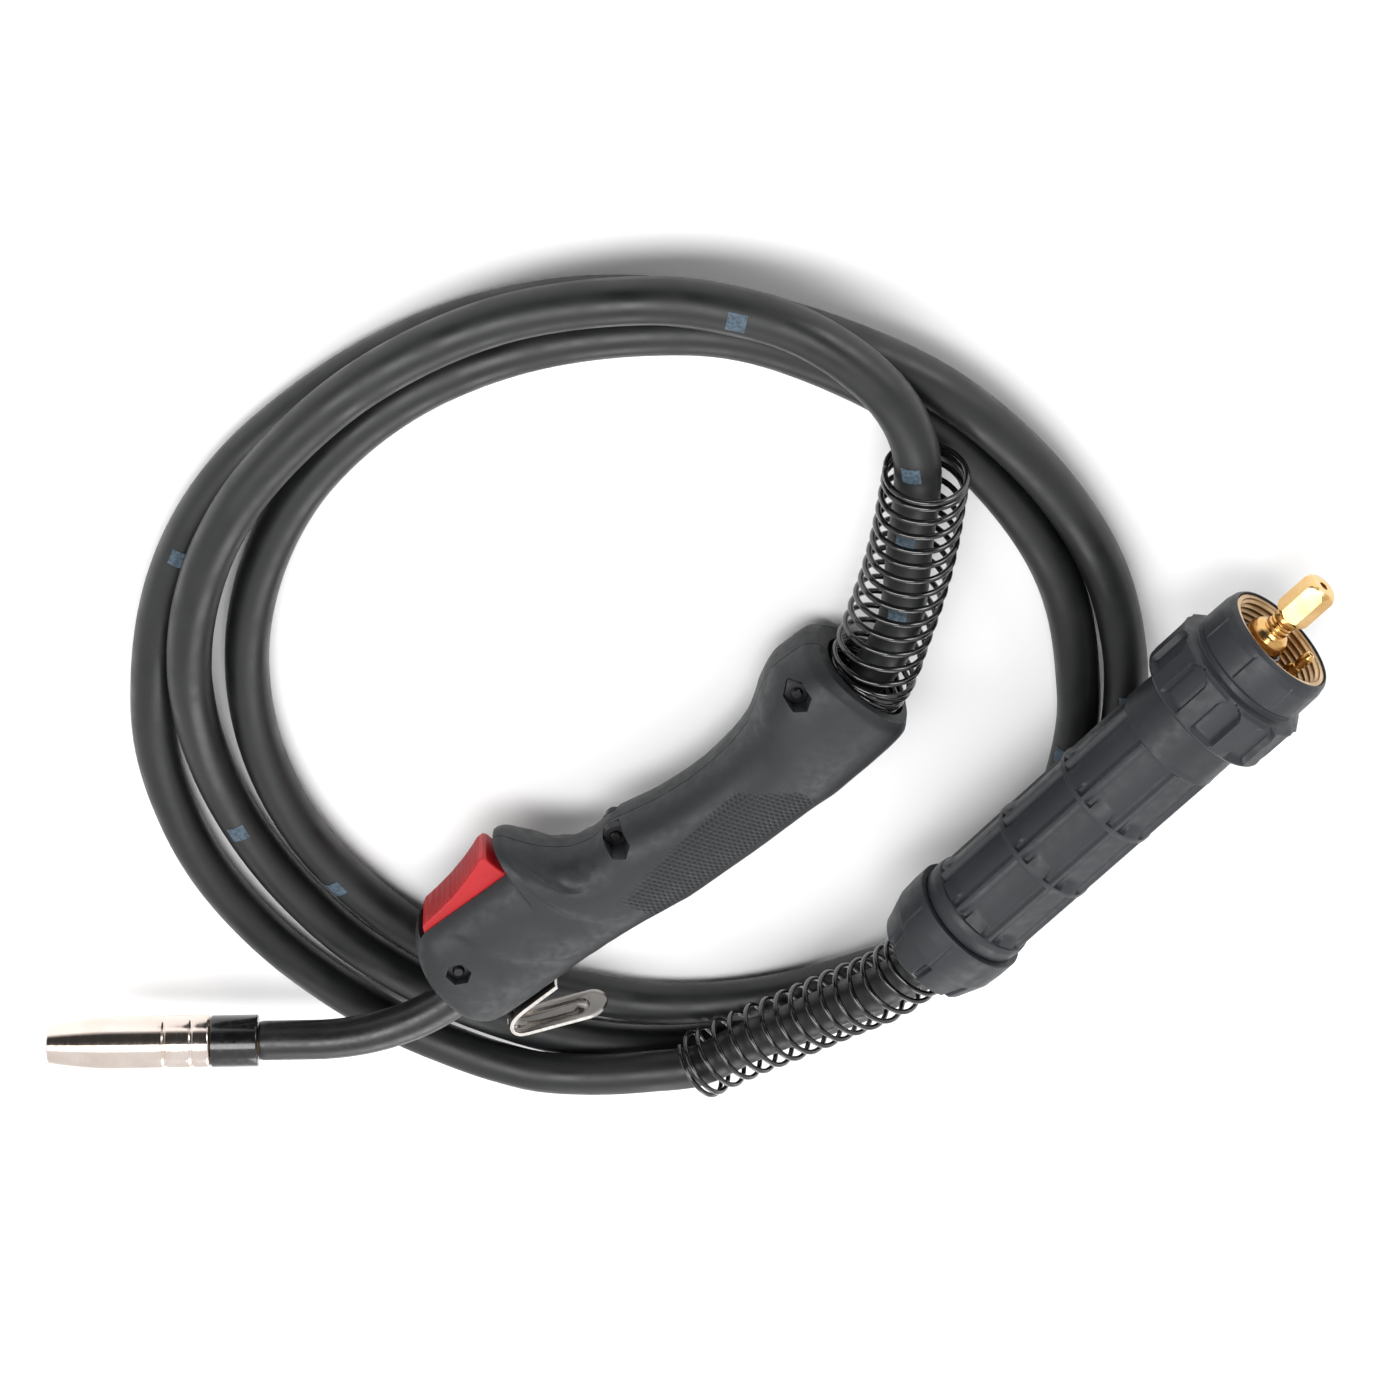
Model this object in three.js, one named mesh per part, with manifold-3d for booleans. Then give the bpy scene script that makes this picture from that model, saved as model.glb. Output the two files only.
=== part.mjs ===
// A gas-cooled arc-welding torch lying with its coiled supply cable: pistol handle, bent neck and gas nozzle at one
// end, central connector with its screwed coupling nut at the other. Millimetres, +Z up.
import * as THREE from 'three';
import { mergeVertices } from 'three/addons/utils/BufferGeometryUtils.js';
import Module from 'manifold-3d';

const wasm = await Module();
wasm.setup();
const { Manifold, Mesh } = wasm;

// ---- where the assemblies lie ----
const ORIGIN_SHIFT = [65.01, 10.47]; // brings the middle of the torch body over the origin
const HANDLE_AT = [-75.5, -101.1, 31.543]; // neck socket of the handle
const HANDLE_TURN = 41.9; // degrees about Z
const HANDLE_TILT = 3.8; // degrees, rear end low
const CONNECTOR_AT = [72.2, -78, 40]; // rear face of the connector
const CONNECTOR_TURN = 51.6;

// ---- shared sizes ----
const GAP = 0.3; // between parts that touch
const SPLIT = 0.15; // half the seam between the two handle shells
const CABLE_R = 6.9;
const NECK_AT = [2.3, 0.8]; // start of the bend in the handle, x and y
const NECK_BEND_R = 72;
const NECK_BEND = 43.2; // degrees
const NECK_R = 4.5;
const SLEEVE_R = 6.5;
const HINGE = [16, 25]; // trigger pivot in the handle
const SLOT = { x0: 12.6, x1: 51.6, y0: 19, half: 7.5 };
const REAR = { x: 176.2, y: 4.8, turn: 9 }; // rear face centre and slant
const HOUSING_R = 18;
const HOUSING_END = 130.3;
const NUT = { x0: 130.7, x1: 163.7, r: 23.3, wall: 3.5 };
const PLUG = [3.1, -1.4]; // plug axis beside the connector axis, y and z
const PIN_1 = [-6.2, -6.1];
const PIN_2 = [-11.7, -3.6];
const GAS_PIN = [-9.4, 2.3];
const COIL_CENTRE = [-8, 5];
const COIL_RING = { inner: 123, outer: 173, top: 14 };

// ---- materials ----
const paint = (name, color, metalness = 0, roughness = 0.5) => {
  const m = new THREE.MeshStandardMaterial({ color, metalness, roughness });
  m.name = name;
  return m;
};
const GREY = paint('handle_plastic', '#46484b');
const DARK = paint('dark_plastic', '#3b3c3f');
const RED = paint('trigger_red', '#b8383c');
const BLACK = paint('black_plastic', '#161617');
const RUBBER = paint('cable_rubber', '#1b1b1c', 0, 0.6);
const STEEL = paint('steel', '#a9a9a8', 1, 0.35);
const SPRING = paint('spring_black', '#1d1d1f', 0.6, 0.35);
const NICKEL = paint('nickel', '#cbbcb2', 1, 0.3);
const COPPER = paint('copper', '#c06a45', 1, 0.35);
const BRASS = paint('brass', '#c9a45c', 1, 0.3);
const TAN = paint('thread_ring', '#a98a5c', 0.6, 0.45);

// ---- helpers ----
const rad = (d) => (d * Math.PI) / 180;

// a closed geometry as an indexed one with merged corners, outward faces and no slivers
function clean(geometry) {
  const g = geometry.clone();
  for (const key of Object.keys(g.attributes)) {
    if (key !== 'position') {
      g.deleteAttribute(key);
    }
  }
  const merged = mergeVertices(g, 1e-4);
  const p = merged.attributes.position;
  const index = merged.index.array;
  const a = new THREE.Vector3();
  const b = new THREE.Vector3();
  const c = new THREE.Vector3();
  const kept = [];
  let volume = 0;
  for (let i = 0; i < index.length; i += 3) {
    const [i0, i1, i2] = [index[i], index[i + 1], index[i + 2]];
    if (i0 === i1 || i1 === i2 || i0 === i2) {
      continue;
    }
    a.fromBufferAttribute(p, i0);
    b.fromBufferAttribute(p, i1);
    c.fromBufferAttribute(p, i2);
    volume += a.dot(b.clone().cross(c));
    kept.push(i0, i1, i2);
  }
  if (volume < 0) {
    kept.reverse();
  }
  merged.setIndex(kept);
  return merged;
}

function solid(geometry) {
  const g = clean(geometry);
  return new Manifold(
    new Mesh({
      numProp: 3,
      vertProperties: new Float32Array(g.attributes.position.array),
      triVerts: new Uint32Array(g.index.array),
    }),
  );
}

function toGeometry(body) {
  const m = body.getMesh();
  const g = new THREE.BufferGeometry();
  g.setAttribute('position', new THREE.BufferAttribute(new Float32Array(m.vertProperties), 3));
  g.setIndex(new THREE.BufferAttribute(new Uint32Array(m.triVerts), 1));
  return g;
}

function piece(name, shape, material) {
  const geometry = shape.isBufferGeometry ? clean(shape) : toGeometry(shape);
  geometry.computeVertexNormals();
  const mesh = new THREE.Mesh(geometry, material);
  mesh.name = name;
  return mesh;
}

const place = (geometry, x = 0, y = 0, z = 0) => geometry.translate(x, y, z);

function box(x0, x1, y0, y1, z0, z1) {
  const g = new THREE.BoxGeometry(x1 - x0, y1 - y0, z1 - z0);
  return solid(place(g, (x0 + x1) / 2, (y0 + y1) / 2, (z0 + z1) / 2));
}

// a body of revolution about +X, from [x, radius] points that start and end on the axis or close on themselves
function turned(points, sides = 28, at = [0, 0]) {
  const g = new THREE.LatheGeometry(
    points.map(([x, r]) => new THREE.Vector2(r, x)),
    sides,
  );
  return place(g.rotateZ(-Math.PI / 2), 0, at[0], at[1]);
}

const bar = (x0, x1, r) => [[x0, 0], [x0, r], [x1, r], [x1, 0]];
const pipe = (x0, x1, inner, outer) => [[x0, inner], [x0, outer], [x1, outer], [x1, inner], [x0, inner]];
const alongX = (x0, x1, r, at = [0, 0], sides = 20) => solid(turned(bar(x0, x1, r), sides, at));

// a round or hexagonal bar along Z
function alongZ(z0, z1, r, x, y, sides = 18) {
  const g = new THREE.CylinderGeometry(r, r, z1 - z0, sides).rotateX(Math.PI / 2);
  return solid(place(g, x, y, (z0 + z1) / 2));
}

function alongY(y0, y1, r, x, z, sides = 18) {
  return solid(place(new THREE.CylinderGeometry(r, r, y1 - y0, sides), x, (y0 + y1) / 2, z));
}

function ringShape(outer, inner, sides) {
  const shape = new THREE.Shape();
  const loop = (target, r) => {
    for (let i = 0; i < sides; i += 1) {
      const a = (2 * Math.PI * i) / sides;
      if (i === 0) {
        target.moveTo(r, 0);
      } else {
        target.lineTo(r * Math.cos(a), r * Math.sin(a));
      }
    }
    target.closePath();
  };
  loop(shape, outer);
  if (inner > 0) {
    const hole = new THREE.Path();
    loop(hole, inner);
    shape.holes.push(hole);
  }
  return shape;
}

// a round section swept along a curve
function swept(curve, outer, steps, sides = 10, inner = 0) {
  return new THREE.ExtrudeGeometry(ringShape(outer, inner, sides), {
    steps,
    bevelEnabled: false,
    extrudePath: curve,
    curveSegments: 1,
  });
}

const smooth = (points) =>
  new THREE.CatmullRomCurve3(points.map((p) => new THREE.Vector3(...p)), false, 'centripetal');

// wire wound about a curved axis; radius and turn count are functions of the way along, from 0 to 1
class Winding extends THREE.Curve {
  constructor(axis, radius, turns, flat = false) {
    super();
    this.axis = axis;
    this.radius = radius;
    this.turns = turns;
    this.flat = flat;
  }

  getPoint(t, target = new THREE.Vector3()) {
    const at = this.axis.getPointAt(t);
    const along = this.axis.getTangentAt(t);
    const side = new THREE.Vector3(-along.y, along.x, 0).normalize();
    const up = new THREE.Vector3().crossVectors(along, side);
    const angle = 2 * Math.PI * this.turns(t);
    const r = this.radius(t);
    return target
      .copy(at)
      .addScaledVector(side, r * Math.cos(angle))
      .addScaledVector(up, r * Math.sin(angle));
  }
}

// ---- handle shells ----
// Each station: lower edge x, y; upper edge x, y; half thickness
const GRIP = [
  [1.2, -2.5, 1.4, 14, 10],
  [2, -6.2, 2.8, 19.4, 12.4],
  [3.6, -9.4, 5.2, 24.6, 13.8],
  [6.6, -12, 9, 29.4, 14.6],
  [12, -12.9, 15.8, 32.7, 15],
  [28, -13.2, 32.4, 32.2, 15.2],
  [46.2, -13.5, 51.4, 31.6, 15.3],
  [47.2, -13.6, 52.2, 35.8, 15.3],
  [48.4, -13.7, 53.2, 39.6, 15.3],
  [50.4, -13.8, 54.9, 38.8, 15.3],
  [53.4, -13.9, 57.4, 34.2, 15.3],
  [56.6, -14.1, 60, 29.2, 15.2],
  [61, -14.3, 64, 23.8, 15],
  [67.8, -14.9, 70, 19.4, 14.8],
  [75, -16, 77, 17.8, 14.6],
  [81, -17, 83.4, 19, 14.6],
  [87, -17.8, 89.4, 17.6, 14.6],
  [100.7, -18, 103, 14.6, 14.7],
  [114.5, -18.2, 116.6, 13.6, 15],
  [128.2, -17.9, 130, 14.8, 15.8],
  [139, -17.6, 140, 17.2, 17],
  [146, -17.6, 145.6, 20.2, 18.4],
  [152.4, -17, 151.8, 24.2, 19.6],
  [163, -16.2, 161.5, 27.6, 20.3],
  [176.8, -14.2, 171.3, 27.2, 20.2],
  [180, -11.5, 175, 24.2, 18.4],
];
const HOLLOW = [
  [23.4, -11, 26.4, 17.6, 12.2],
  [30, -11.2, 33, 27, 12.6],
  [50, -11.4, 54, 26, 12.6],
  [57, -11.8, 60, 19.6, 12.4],
  [70, -12.6, 72, 16, 12.1],
  [100, -15.4, 102, 12, 12.1],
  [128, -15.4, 130, 12, 13],
  [146, -14.6, 146, 17, 15.4],
  [156, -13.4, 155, 20, 16.6],
];

// widest this far above the lower edge, where the section is a tall one
const BELLY = 22.8;

// a loft through oval stations with squarish shoulders
function loft(stations, around, power) {
  const positions = [];
  const index = [];
  for (const [x0, y0, x1, y1, half] of stations) {
    const low = Math.min(0.5, BELLY / Math.hypot(x1 - x0, y1 - y0));
    for (let i = 0; i < around; i += 1) {
      const a = (2 * Math.PI * (i + 0.5)) / around;
      const c = Math.sign(Math.cos(a)) * Math.abs(Math.cos(a)) ** (2 / power);
      const s = Math.sign(Math.sin(a)) * Math.abs(Math.sin(a)) ** (2 / power);
      const way = c < 0 ? low * (1 + c) : low + (1 - low) * c;
      positions.push(x0 + (x1 - x0) * way, y0 + (y1 - y0) * way, half * s);
    }
  }
  const last = (stations.length - 1) * around;
  for (let k = 0; k < last; k += around) {
    for (let i = 0; i < around; i += 1) {
      const j = (i + 1) % around;
      index.push(k + i, k + j, k + around + i, k + j, k + around + j, k + around + i);
    }
  }
  for (let i = 1; i < around - 1; i += 1) {
    index.push(0, i + 1, i, last, last + i, last + i + 1);
  }
  const g = new THREE.BufferGeometry();
  g.setAttribute('position', new THREE.BufferAttribute(new Float32Array(positions), 3));
  g.setIndex(index);
  return g;
}

// x, y, seat of the head below, seat of the nut above
const SHELL_SCREWS = [
  ['front', 15, 15.6, -10, 9.2],
  ['middle', 83.8, 15.9, -4, 1.4],
  ['rear', 163.6, 22.4, -9.5, 9.5],
];
const SCREW_R = 1.8;
const HEX_AF = 7;

const hexCorner = (flats) => flats / Math.sqrt(3);

function rearCylinder(s0, s1, r, sides = 28) {
  const g = turned(bar(s0, s1, r), sides);
  return solid(place(g.rotateZ(rad(REAR.turn)), REAR.x, REAR.y, 0));
}

function handleBlank() {
  let hollow = solid(loft(HOLLOW, 20, 2.6));
  for (const [, x, y] of SHELL_SCREWS) {
    hollow = hollow.subtract(alongZ(-30, 30, 4.3, x, y, 16));
  }
  hollow = hollow.subtract(alongZ(5.3, 30, 3, 37, 12, 12));
  hollow = hollow.subtract(alongZ(-30, -5.3, 3, 37, 12, 12));
  return solid(loft(GRIP, 20, 2.6)).subtract(hollow);
}

function handleOpenings(blank) {
  const nutPocket = solid(turned(bar(7.6, 28, hexCorner(15.6)), 6, [NECK_AT[1], 0]));
  let body = blank
    .subtract(box(SLOT.x0, SLOT.x1, SLOT.y0, 60, -SLOT.half, SLOT.half))
    .subtract(alongX(-20, 9, SLEEVE_R + GAP, [NECK_AT[1], 0], 24))
    .subtract(nutPocket)
    .subtract(alongZ(-11.3, 11.3, 1.8, ...HINGE, 14))
    .subtract(alongY(-30, -7, 1.85, 20, 0, 12))
    .subtract(rearCylinder(-13, 20, 17.2))
    .subtract(rearCylinder(-40, -12, 8.2, 20));
  for (const [, x, y, seat, nutSeat] of SHELL_SCREWS) {
    body = body
      .subtract(alongZ(-30, 30, SCREW_R + 0.35, x, y, 14))
      .subtract(alongZ(-30, seat, 3.4, x, y, 18))
      .subtract(alongZ(nutSeat, 30, hexCorner(HEX_AF + 0.7), x, y, 6));
  }
  return body;
}

function shells() {
  const body = handleOpenings(handleBlank());
  const above = box(-50, 250, -100, 100, SPLIT, 60);
  const below = box(-50, 250, -100, 100, -60, -SPLIT);
  return [
    piece('handle_shell_upper', body.intersect(above), GREY),
    piece('handle_shell_lower', body.intersect(below), GREY),
  ];
}

function shellFasteners() {
  const out = [];
  for (const [name, x, y, seat, nutSeat] of SHELL_SCREWS) {
    const shank = alongZ(seat - 1, nutSeat + 3.4, SCREW_R, x, y, 12);
    const head = alongZ(seat - 2.9, seat - GAP, 3, x, y, 18);
    const socket = alongZ(seat - 4, seat - 1.6, hexCorner(3), x, y, 6);
    out.push(piece(`shell_screw_${name}`, shank.add(head).subtract(socket), STEEL));
    const hex = alongZ(nutSeat + GAP, nutSeat + 3.4, hexCorner(HEX_AF), x, y, 6);
    const bore = alongZ(-30, 30, SCREW_R + 0.35, x, y, 12);
    out.push(piece(`shell_nut_${name}`, hex.subtract(bore), STEEL));
  }
  return out;
}

// ---- trigger and switch ----
function plate(outline, half) {
  const shape = new THREE.Shape(outline.map(([x, y]) => new THREE.Vector2(x, y)));
  const g = new THREE.ExtrudeGeometry(shape, { depth: 2 * half, bevelEnabled: false });
  return solid(place(g, 0, 0, -half));
}

function trigger() {
  const outline = [
    [13.5, 21.4], [14.2, 30.4], [15.6, 32.6], [17.6, 33.6], [24, 34.2], [31, 35.2], [38, 36.8], [43, 38.3],
    [46.6, 39.6], [48.6, 39.5], [49.3, 38.4], [49.4, 34], [49.7, 30], [49.3, 26], [47.4, 22.4], [45, 21.4],
  ];
  let body = plate(outline, 7).subtract(alongZ(-10, 10, 1.8, ...HINGE, 14));
  for (let i = 0; i < 9; i += 1) {
    const x = 19.5 + 2.9 * i;
    const y = 34.3 + 0.006 * (x - 17) ** 2;
    body = body.subtract(alongZ(-10, 10, 0.75, x, y, 8));
  }
  return body;
}

function switchParts() {
  const body = box(28, 46, 9.2, 16.8, -5, 5).subtract(alongY(12, 20, 1.8, 37, 0, 14));
  return [
    piece('trigger', trigger(), RED),
    piece('trigger_pin', alongZ(-11, 11, 1.45, ...HINGE, 14), STEEL),
    piece('microswitch_body', body, BLACK),
    piece('switch_button', alongY(14.6, 21, 1.5, 37, 0, 12), RED),
  ];
}

// ---- belt hook ----
function strip(points, thickness, half) {
  const left = [];
  const right = [];
  points.forEach(([x, y], i) => {
    const [px, py] = points[Math.max(i - 1, 0)];
    const [qx, qy] = points[Math.min(i + 1, points.length - 1)];
    const len = Math.hypot(qx - px, qy - py);
    const nx = (-(qy - py) / len) * (thickness / 2);
    const ny = ((qx - px) / len) * (thickness / 2);
    left.push([x + nx, y + ny]);
    right.unshift([x - nx, y - ny]);
  });
  return plate([...left, ...right], half);
}

function hook() {
  const line = [
    [29, -14.8], [20, -14.8], [12, -15], [8.6, -15.8], [6.4, -17.4], [5.6, -19.4], [6.2, -21.4], [8, -22.8],
    [10.2, -23.9], [21, -28.9], [33.5, -34.7],
  ];
  let body = strip(line, 1.2, 6.5).subtract(alongY(-17, -12, 1.85, 20, 0, 12));
  for (const z of [-3.2, 3.2]) {
    const rib = new THREE.CylinderGeometry(1, 1, 15, 6).rotateZ(rad(90 - 24.9));
    body = body.add(solid(place(rib, 19.5, -28.7, z)));
  }
  const tip = alongY(-50, 0, 6.5, 27.2, 0, 20);
  const outline = tip.add(box(-10, 27.2, -50, 0, -6.5, 6.5));
  return body.intersect(outline.add(box(25, 40, -20, 0, -6.5, 6.5)));
}

function hookParts() {
  const shank = alongY(-16, -8, 1.5, 20, 0, 12);
  const head = alongY(-17.4, -15.7, 3.2, 20, 0, 18);
  const drive = box(17.6, 22.4, -19, -16.7, -0.5, 0.5);
  return [
    piece('hanging_hook', hook(), STEEL),
    piece('hook_screw', shank.add(head).subtract(drive), STEEL),
  ];
}

// ---- neck ----
// the neck axis by distance from the handle socket; negative is inside the handle
function neckPoint(s) {
  const arc = NECK_BEND_R * rad(NECK_BEND);
  const [x, y] = NECK_AT;
  if (s <= 0) {
    return [x - s, y, 0];
  }
  const a = Math.min(s, arc) / NECK_BEND_R;
  const beyond = Math.max(s - arc, 0);
  return [
    x - NECK_BEND_R * Math.sin(a) - beyond * Math.cos(a),
    y + NECK_BEND_R * (1 - Math.cos(a)) + beyond * Math.sin(a),
    0,
  ];
}

function neckCurve(s0, s1, count) {
  const points = [];
  for (let i = 0; i <= count; i += 1) {
    points.push(neckPoint(s0 + ((s1 - s0) * i) / count));
  }
  return smooth(points);
}

const NECK_ARC = NECK_BEND_R * rad(NECK_BEND);

function neckParts() {
  const tube = swept(neckCurve(-21.2, NECK_ARC + 41.7, 18), NECK_R, 15, 10, 2.6);
  const sleeve = swept(neckCurve(-4.6, NECK_ARC + 17.5, 12), SLEEVE_R, 10, 12, NECK_R + GAP + 0.15);
  const side = [NECK_AT[1], 0];
  const hex = solid(turned(bar(8, 20, hexCorner(15)), 6, side)).subtract(alongX(0, 30, NECK_R + GAP + 0.1, side));
  const lead = smooth([[46.3, 0.8, 0], [70, 0.3, 0], [100, 0, 0], [130, 0.4, 0], [155, 1.8, 0], [175.8, 4.74, 0]]);
  return [
    piece('swan_neck_tube', tube, NICKEL),
    piece('neck_sleeve', sleeve, BLACK),
    piece('neck_nut', hex, BRASS),
    piece('cable_nipple_handle', turned(pipe(24, 46, 2, 6), 18, side), BRASS),
    piece('cable_in_handle', swept(lead, CABLE_R, 10, 12), RUBBER),
  ];
}

// ---- front end: local +X runs from the neck bend to the nozzle mouth ----
function nozzleProfile() {
  return [
    [33.5, 7.6], [33.5, 8.5], [34, 8.8], [38.6, 8.8], [38.9, 8.5], [39.5, 8.5], [39.8, 8.8], [47.4, 8.8],
    [47.7, 8.5], [48.3, 8.5], [48.6, 8.8], [65, 8.8], [71, 8.5], [77, 7.9], [82, 7.2], [86, 6.5], [86, 5.2],
    [82, 5.6], [73, 6.8], [62, 7.6], [33.5, 7.6],
  ];
}

function nozzleSpring() {
  const axis = new THREE.LineCurve3(new THREE.Vector3(34.6, 0, 0), new THREE.Vector3(41, 0, 0));
  return swept(new Winding(axis, () => 6, (t) => 4 * t), 0.6, 32, 4);
}

function frontParts() {
  const group = new THREE.Group();
  const [x, y] = neckPoint(NECK_ARC);
  group.position.set(x, y, 0);
  group.rotation.z = rad(180 - NECK_BEND);
  const holder = [[42, 1], [42, 4.6], [43, 5], [57.4, 5], [58, 4.6], [58, 1], [42, 1]];
  const tip = [[58.3, 0.55], [58.3, 2.6], [58.9, 3], [78, 3], [81, 2.5], [82.6, 2.1], [82.6, 0.55], [58.3, 0.55]];
  group.add(
    piece('neck_insulator', turned(pipe(17.8, 33.2, NECK_R + 0.35, 8.5), 28), BLACK),
    piece('nozzle_spring', nozzleSpring(), SPRING),
    piece('tip_holder', turned(holder, 18), BRASS),
    piece('contact_tip', turned(tip, 14), COPPER),
    piece('gas_nozzle', turned(nozzleProfile(), 20), NICKEL),
  );
  return group;
}

function handleAssembly() {
  const group = new THREE.Group();
  group.add(...shells(), ...shellFasteners(), ...switchParts(), ...hookParts(), ...neckParts(), frontParts());
  group.position.set(...HANDLE_AT);
  group.rotation.order = 'ZYX';
  group.rotation.set(0, rad(HANDLE_TILT), rad(HANDLE_TURN));
  return group;
}

// ---- cable springs and free cable, in the coil's plan ----
// wire bend guard behind the handle: five close turns, thirteen open ones, two close ones
const HANDLE_GUARD = [
  [49, 16, 20.5], [52.2, 19.9, 20.2], [54.9, 24.2, 20.1], [58, 36.3, 20.8], [63.2, 58.8, 22.2], [65.6, 75.2, 24],
  [67, 91.7, 26.4], [67.7, 101.9, 28.2],
];
const CONNECTOR_GUARD = [
  [2.5, -137, 26.4], [18, -125.8, 27.4], [34.4, -113.8, 30.2], [50.4, -100.2, 34.4], [62.4, -89.2, 38.6],
  [72.2, -78, 40], [75.3, -74.1, 40],
];

function handleGuardTurns(t) {
  const [a, b] = [0.12, 0.95];
  if (t < a) {
    return (5 * t) / a;
  }
  if (t < b) {
    return 5 + (13 * (t - a)) / (b - a);
  }
  return 18 + (2 * (t - b)) / (1 - b);
}

function guards() {
  const handle = new Winding(smooth(HANDLE_GUARD), (t) => 13.4 - 1.5 * t, handleGuardTurns);
  const connector = new Winding(smooth(CONNECTOR_GUARD), () => 11, (t) => 17 * t);
  return [
    piece('handle_cable_spring', swept(handle, 0.9, 150, 4), SPRING),
    piece('connector_spring', swept(connector, 0.85, 128, 4), SPRING),
  ];
}

const HANDLE_LEAD = [
  [52.7, 20.5, 20.2], [56.3, 25.6, 20.1], [59.6, 32, 20.4], [62, 39.5, 20.8], [63.4, 49, 21.4], [64, 60, 22],
  [64.4, 75.2, 23.6], [65, 84, 24.8], [65.3, 92, 26.2], [65, 103, 28.2], [62.8, 114.5, 30], [56.6, 127, 30.6],
  [45.5, 138.6, 29.8], [30, 148.5, 28.4], [13, 153.8, 26.8], [-10, 156.2, 25], [-53, 148.7, 22.6],
  [-93, 127.3, 21.5], [-126.6, 93.8, 21.4],
];
const CONNECTOR_LEAD = [
  [-68.5, -136, 21.4], [-54, -140.2, 21.6], [-31.4, -143.7, 22.6], [-13, -142.6, 24.6],
  ...CONNECTOR_GUARD.slice(0, 6),
];

function cable() {
  const { inner, outer, top } = COIL_RING;
  const edge = 4;
  const section = [
    [inner, edge], [inner + edge, 0], [outer - edge, 0], [outer, edge], [outer, top - edge], [outer - edge, top],
    [inner + edge, top], [inner, top - edge], [inner, edge],
  ];
  const ring = new THREE.LatheGeometry(section.map(([r, z]) => new THREE.Vector2(r, z)), 40).rotateX(Math.PI / 2);
  return [
    piece('cable_coil', place(ring, ...COIL_CENTRE, 0), RUBBER),
    piece('cable_lead_handle', swept(smooth(HANDLE_LEAD), CABLE_R, 34, 10), RUBBER),
    piece('cable_lead_connector', swept(smooth(CONNECTOR_LEAD), CABLE_R, 18, 10), RUBBER),
  ];
}

// ---- connector: local +X runs from the cable end to the plug tip ----
function endBell() {
  const profile = [
    [1.5, 12.4], [1.5, 13.8], [2.4, 15], [8, 17.2], [11.5, 19], [14, 19.8], [20, 20.3], [25.4, 20.3], [25.4, 14],
    [12, 14], [12, 7.6], [8, 7.6], [8, 12.4], [1.5, 12.4],
  ];
  let body = solid(turned(profile, 24));
  for (let i = 0; i < 8; i += 1) {
    const cut = new THREE.BoxGeometry(30, 3.2, 6);
    place(cut, -3.4, 0, 18.2);
    cut.rotateX((2 * Math.PI * (i + 0.5)) / 8);
    body = body.subtract(solid(cut));
  }
  return body;
}

function housing() {
  const [r, low] = [HOUSING_R, HOUSING_R - 0.9];
  const profile = [
    [18, 12], [18, 13.6], [25.7, 13.6], [25.7, 18.4], [29.8, 18.7], [31.8, 18.4], [32.4, low], [58.8, low],
    [59.2, r], [60.6, r], [61, low], [87, low], [87.4, r], [88.8, r], [89.2, low], [115.4, low], [115.8, r],
    [118, r - 0.2], [HOUSING_END - 0.6, r - 0.4], [HOUSING_END, r - 0.9], [HOUSING_END, 14.9], [112, 14.9],
    [110, 15.6], [26, 15.6], [26, 12], [18, 12],
  ];
  let body = solid(turned(profile, 24));
  for (let i = 0; i < 8; i += 1) {
    const rib = new THREE.BoxGeometry(84.4, 2.6, 1.7);
    place(rib, 73.9, 0, r - 0.95);
    rib.rotateX((2 * Math.PI * i) / 8);
    body = body.add(solid(rib));
  }
  const recess = box(121, 140, -20, -16.6, -4.2, 4.2).add(alongY(-20, -16.6, 4.2, 121, 0, 18));
  return body
    .subtract(recess)
    .subtract(alongY(-20, -16, 3.2, 121, 0, 18))
    .subtract(alongY(-20, -12, 1.6, 121, 0, 12));
}

function couplingNut() {
  const { x0, x1, r, wall } = NUT;
  const profile = [
    [x0, 14.95], [x0, r - 0.8], [x0 + 0.8, r], [x0 + 16.6, r], [x0 + 17.6, r - 0.9], [x0 + 18, 19.3],
    [x0 + 20.2, 19.3], [x0 + 20.6, 19.8], [x1 - 4, 19.6], [x1 - 0.6, 18.8], [x1, 18.4], [x1, 17.7],
    [x0 + wall, 17.7], [x0 + wall, 14.95], [x0, 14.95],
  ];
  let body = solid(turned(profile, 20));
  for (let i = 0; i < 10; i += 1) {
    const cut = new THREE.BoxGeometry(30, 4.2, 4);
    place(cut, x0 + 2.6, 0, r + 0.9);
    cut.rotateX((2 * Math.PI * (i + 0.5)) / 10);
    body = body.subtract(solid(cut));
  }
  return body;
}

function threadRing() {
  const { x0, x1 } = NUT;
  return turned(pipe(x0 + 8, x1 - 0.5, 15.1, 17.4), 28);
}

function flange() {
  let body = solid(turned([[113, 0], [113, 14.6], [134.5, 14.6], [134.5, 17.2], [138, 17.2], [138, 0]], 24));
  for (const [spot, r] of [[PIN_1, 2.45], [PIN_2, 2.45], [GAS_PIN, 2.1], [PLUG, 6.3]]) {
    body = body.subtract(alongX(100, 150, r, spot, 16));
  }
  return body.subtract(alongY(-18, -12.2, 1.6, 121, 0, 12));
}

function plugBody() {
  const profile = [
    [100.3, 1.7], [100.3, 5.9], [138.3, 5.9], [138.3, 7.6], [143, 7.6], [144, 7.2], [156.6, 6.9], [156.9, 5.9],
    [159.1, 5.9], [159.4, 6.7], [163, 6.3], [164, 5.9], [164.4, 3.8], [170, 3.8], [170, 1.7], [100.3, 1.7],
  ];
  return turned(profile, 20, PLUG);
}

function linerNut() {
  const hex = solid(turned(bar(170.3, 184.4, hexCorner(9.9)), 6, PLUG));
  const round = [[170.3, 1.4], [170.3, 5], [171.2, 5.7], [183.2, 5.7], [184.4, 4.4], [184.4, 1.4], [170.3, 1.4]];
  return hex.intersect(solid(turned(round, 12, PLUG)));
}

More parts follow.
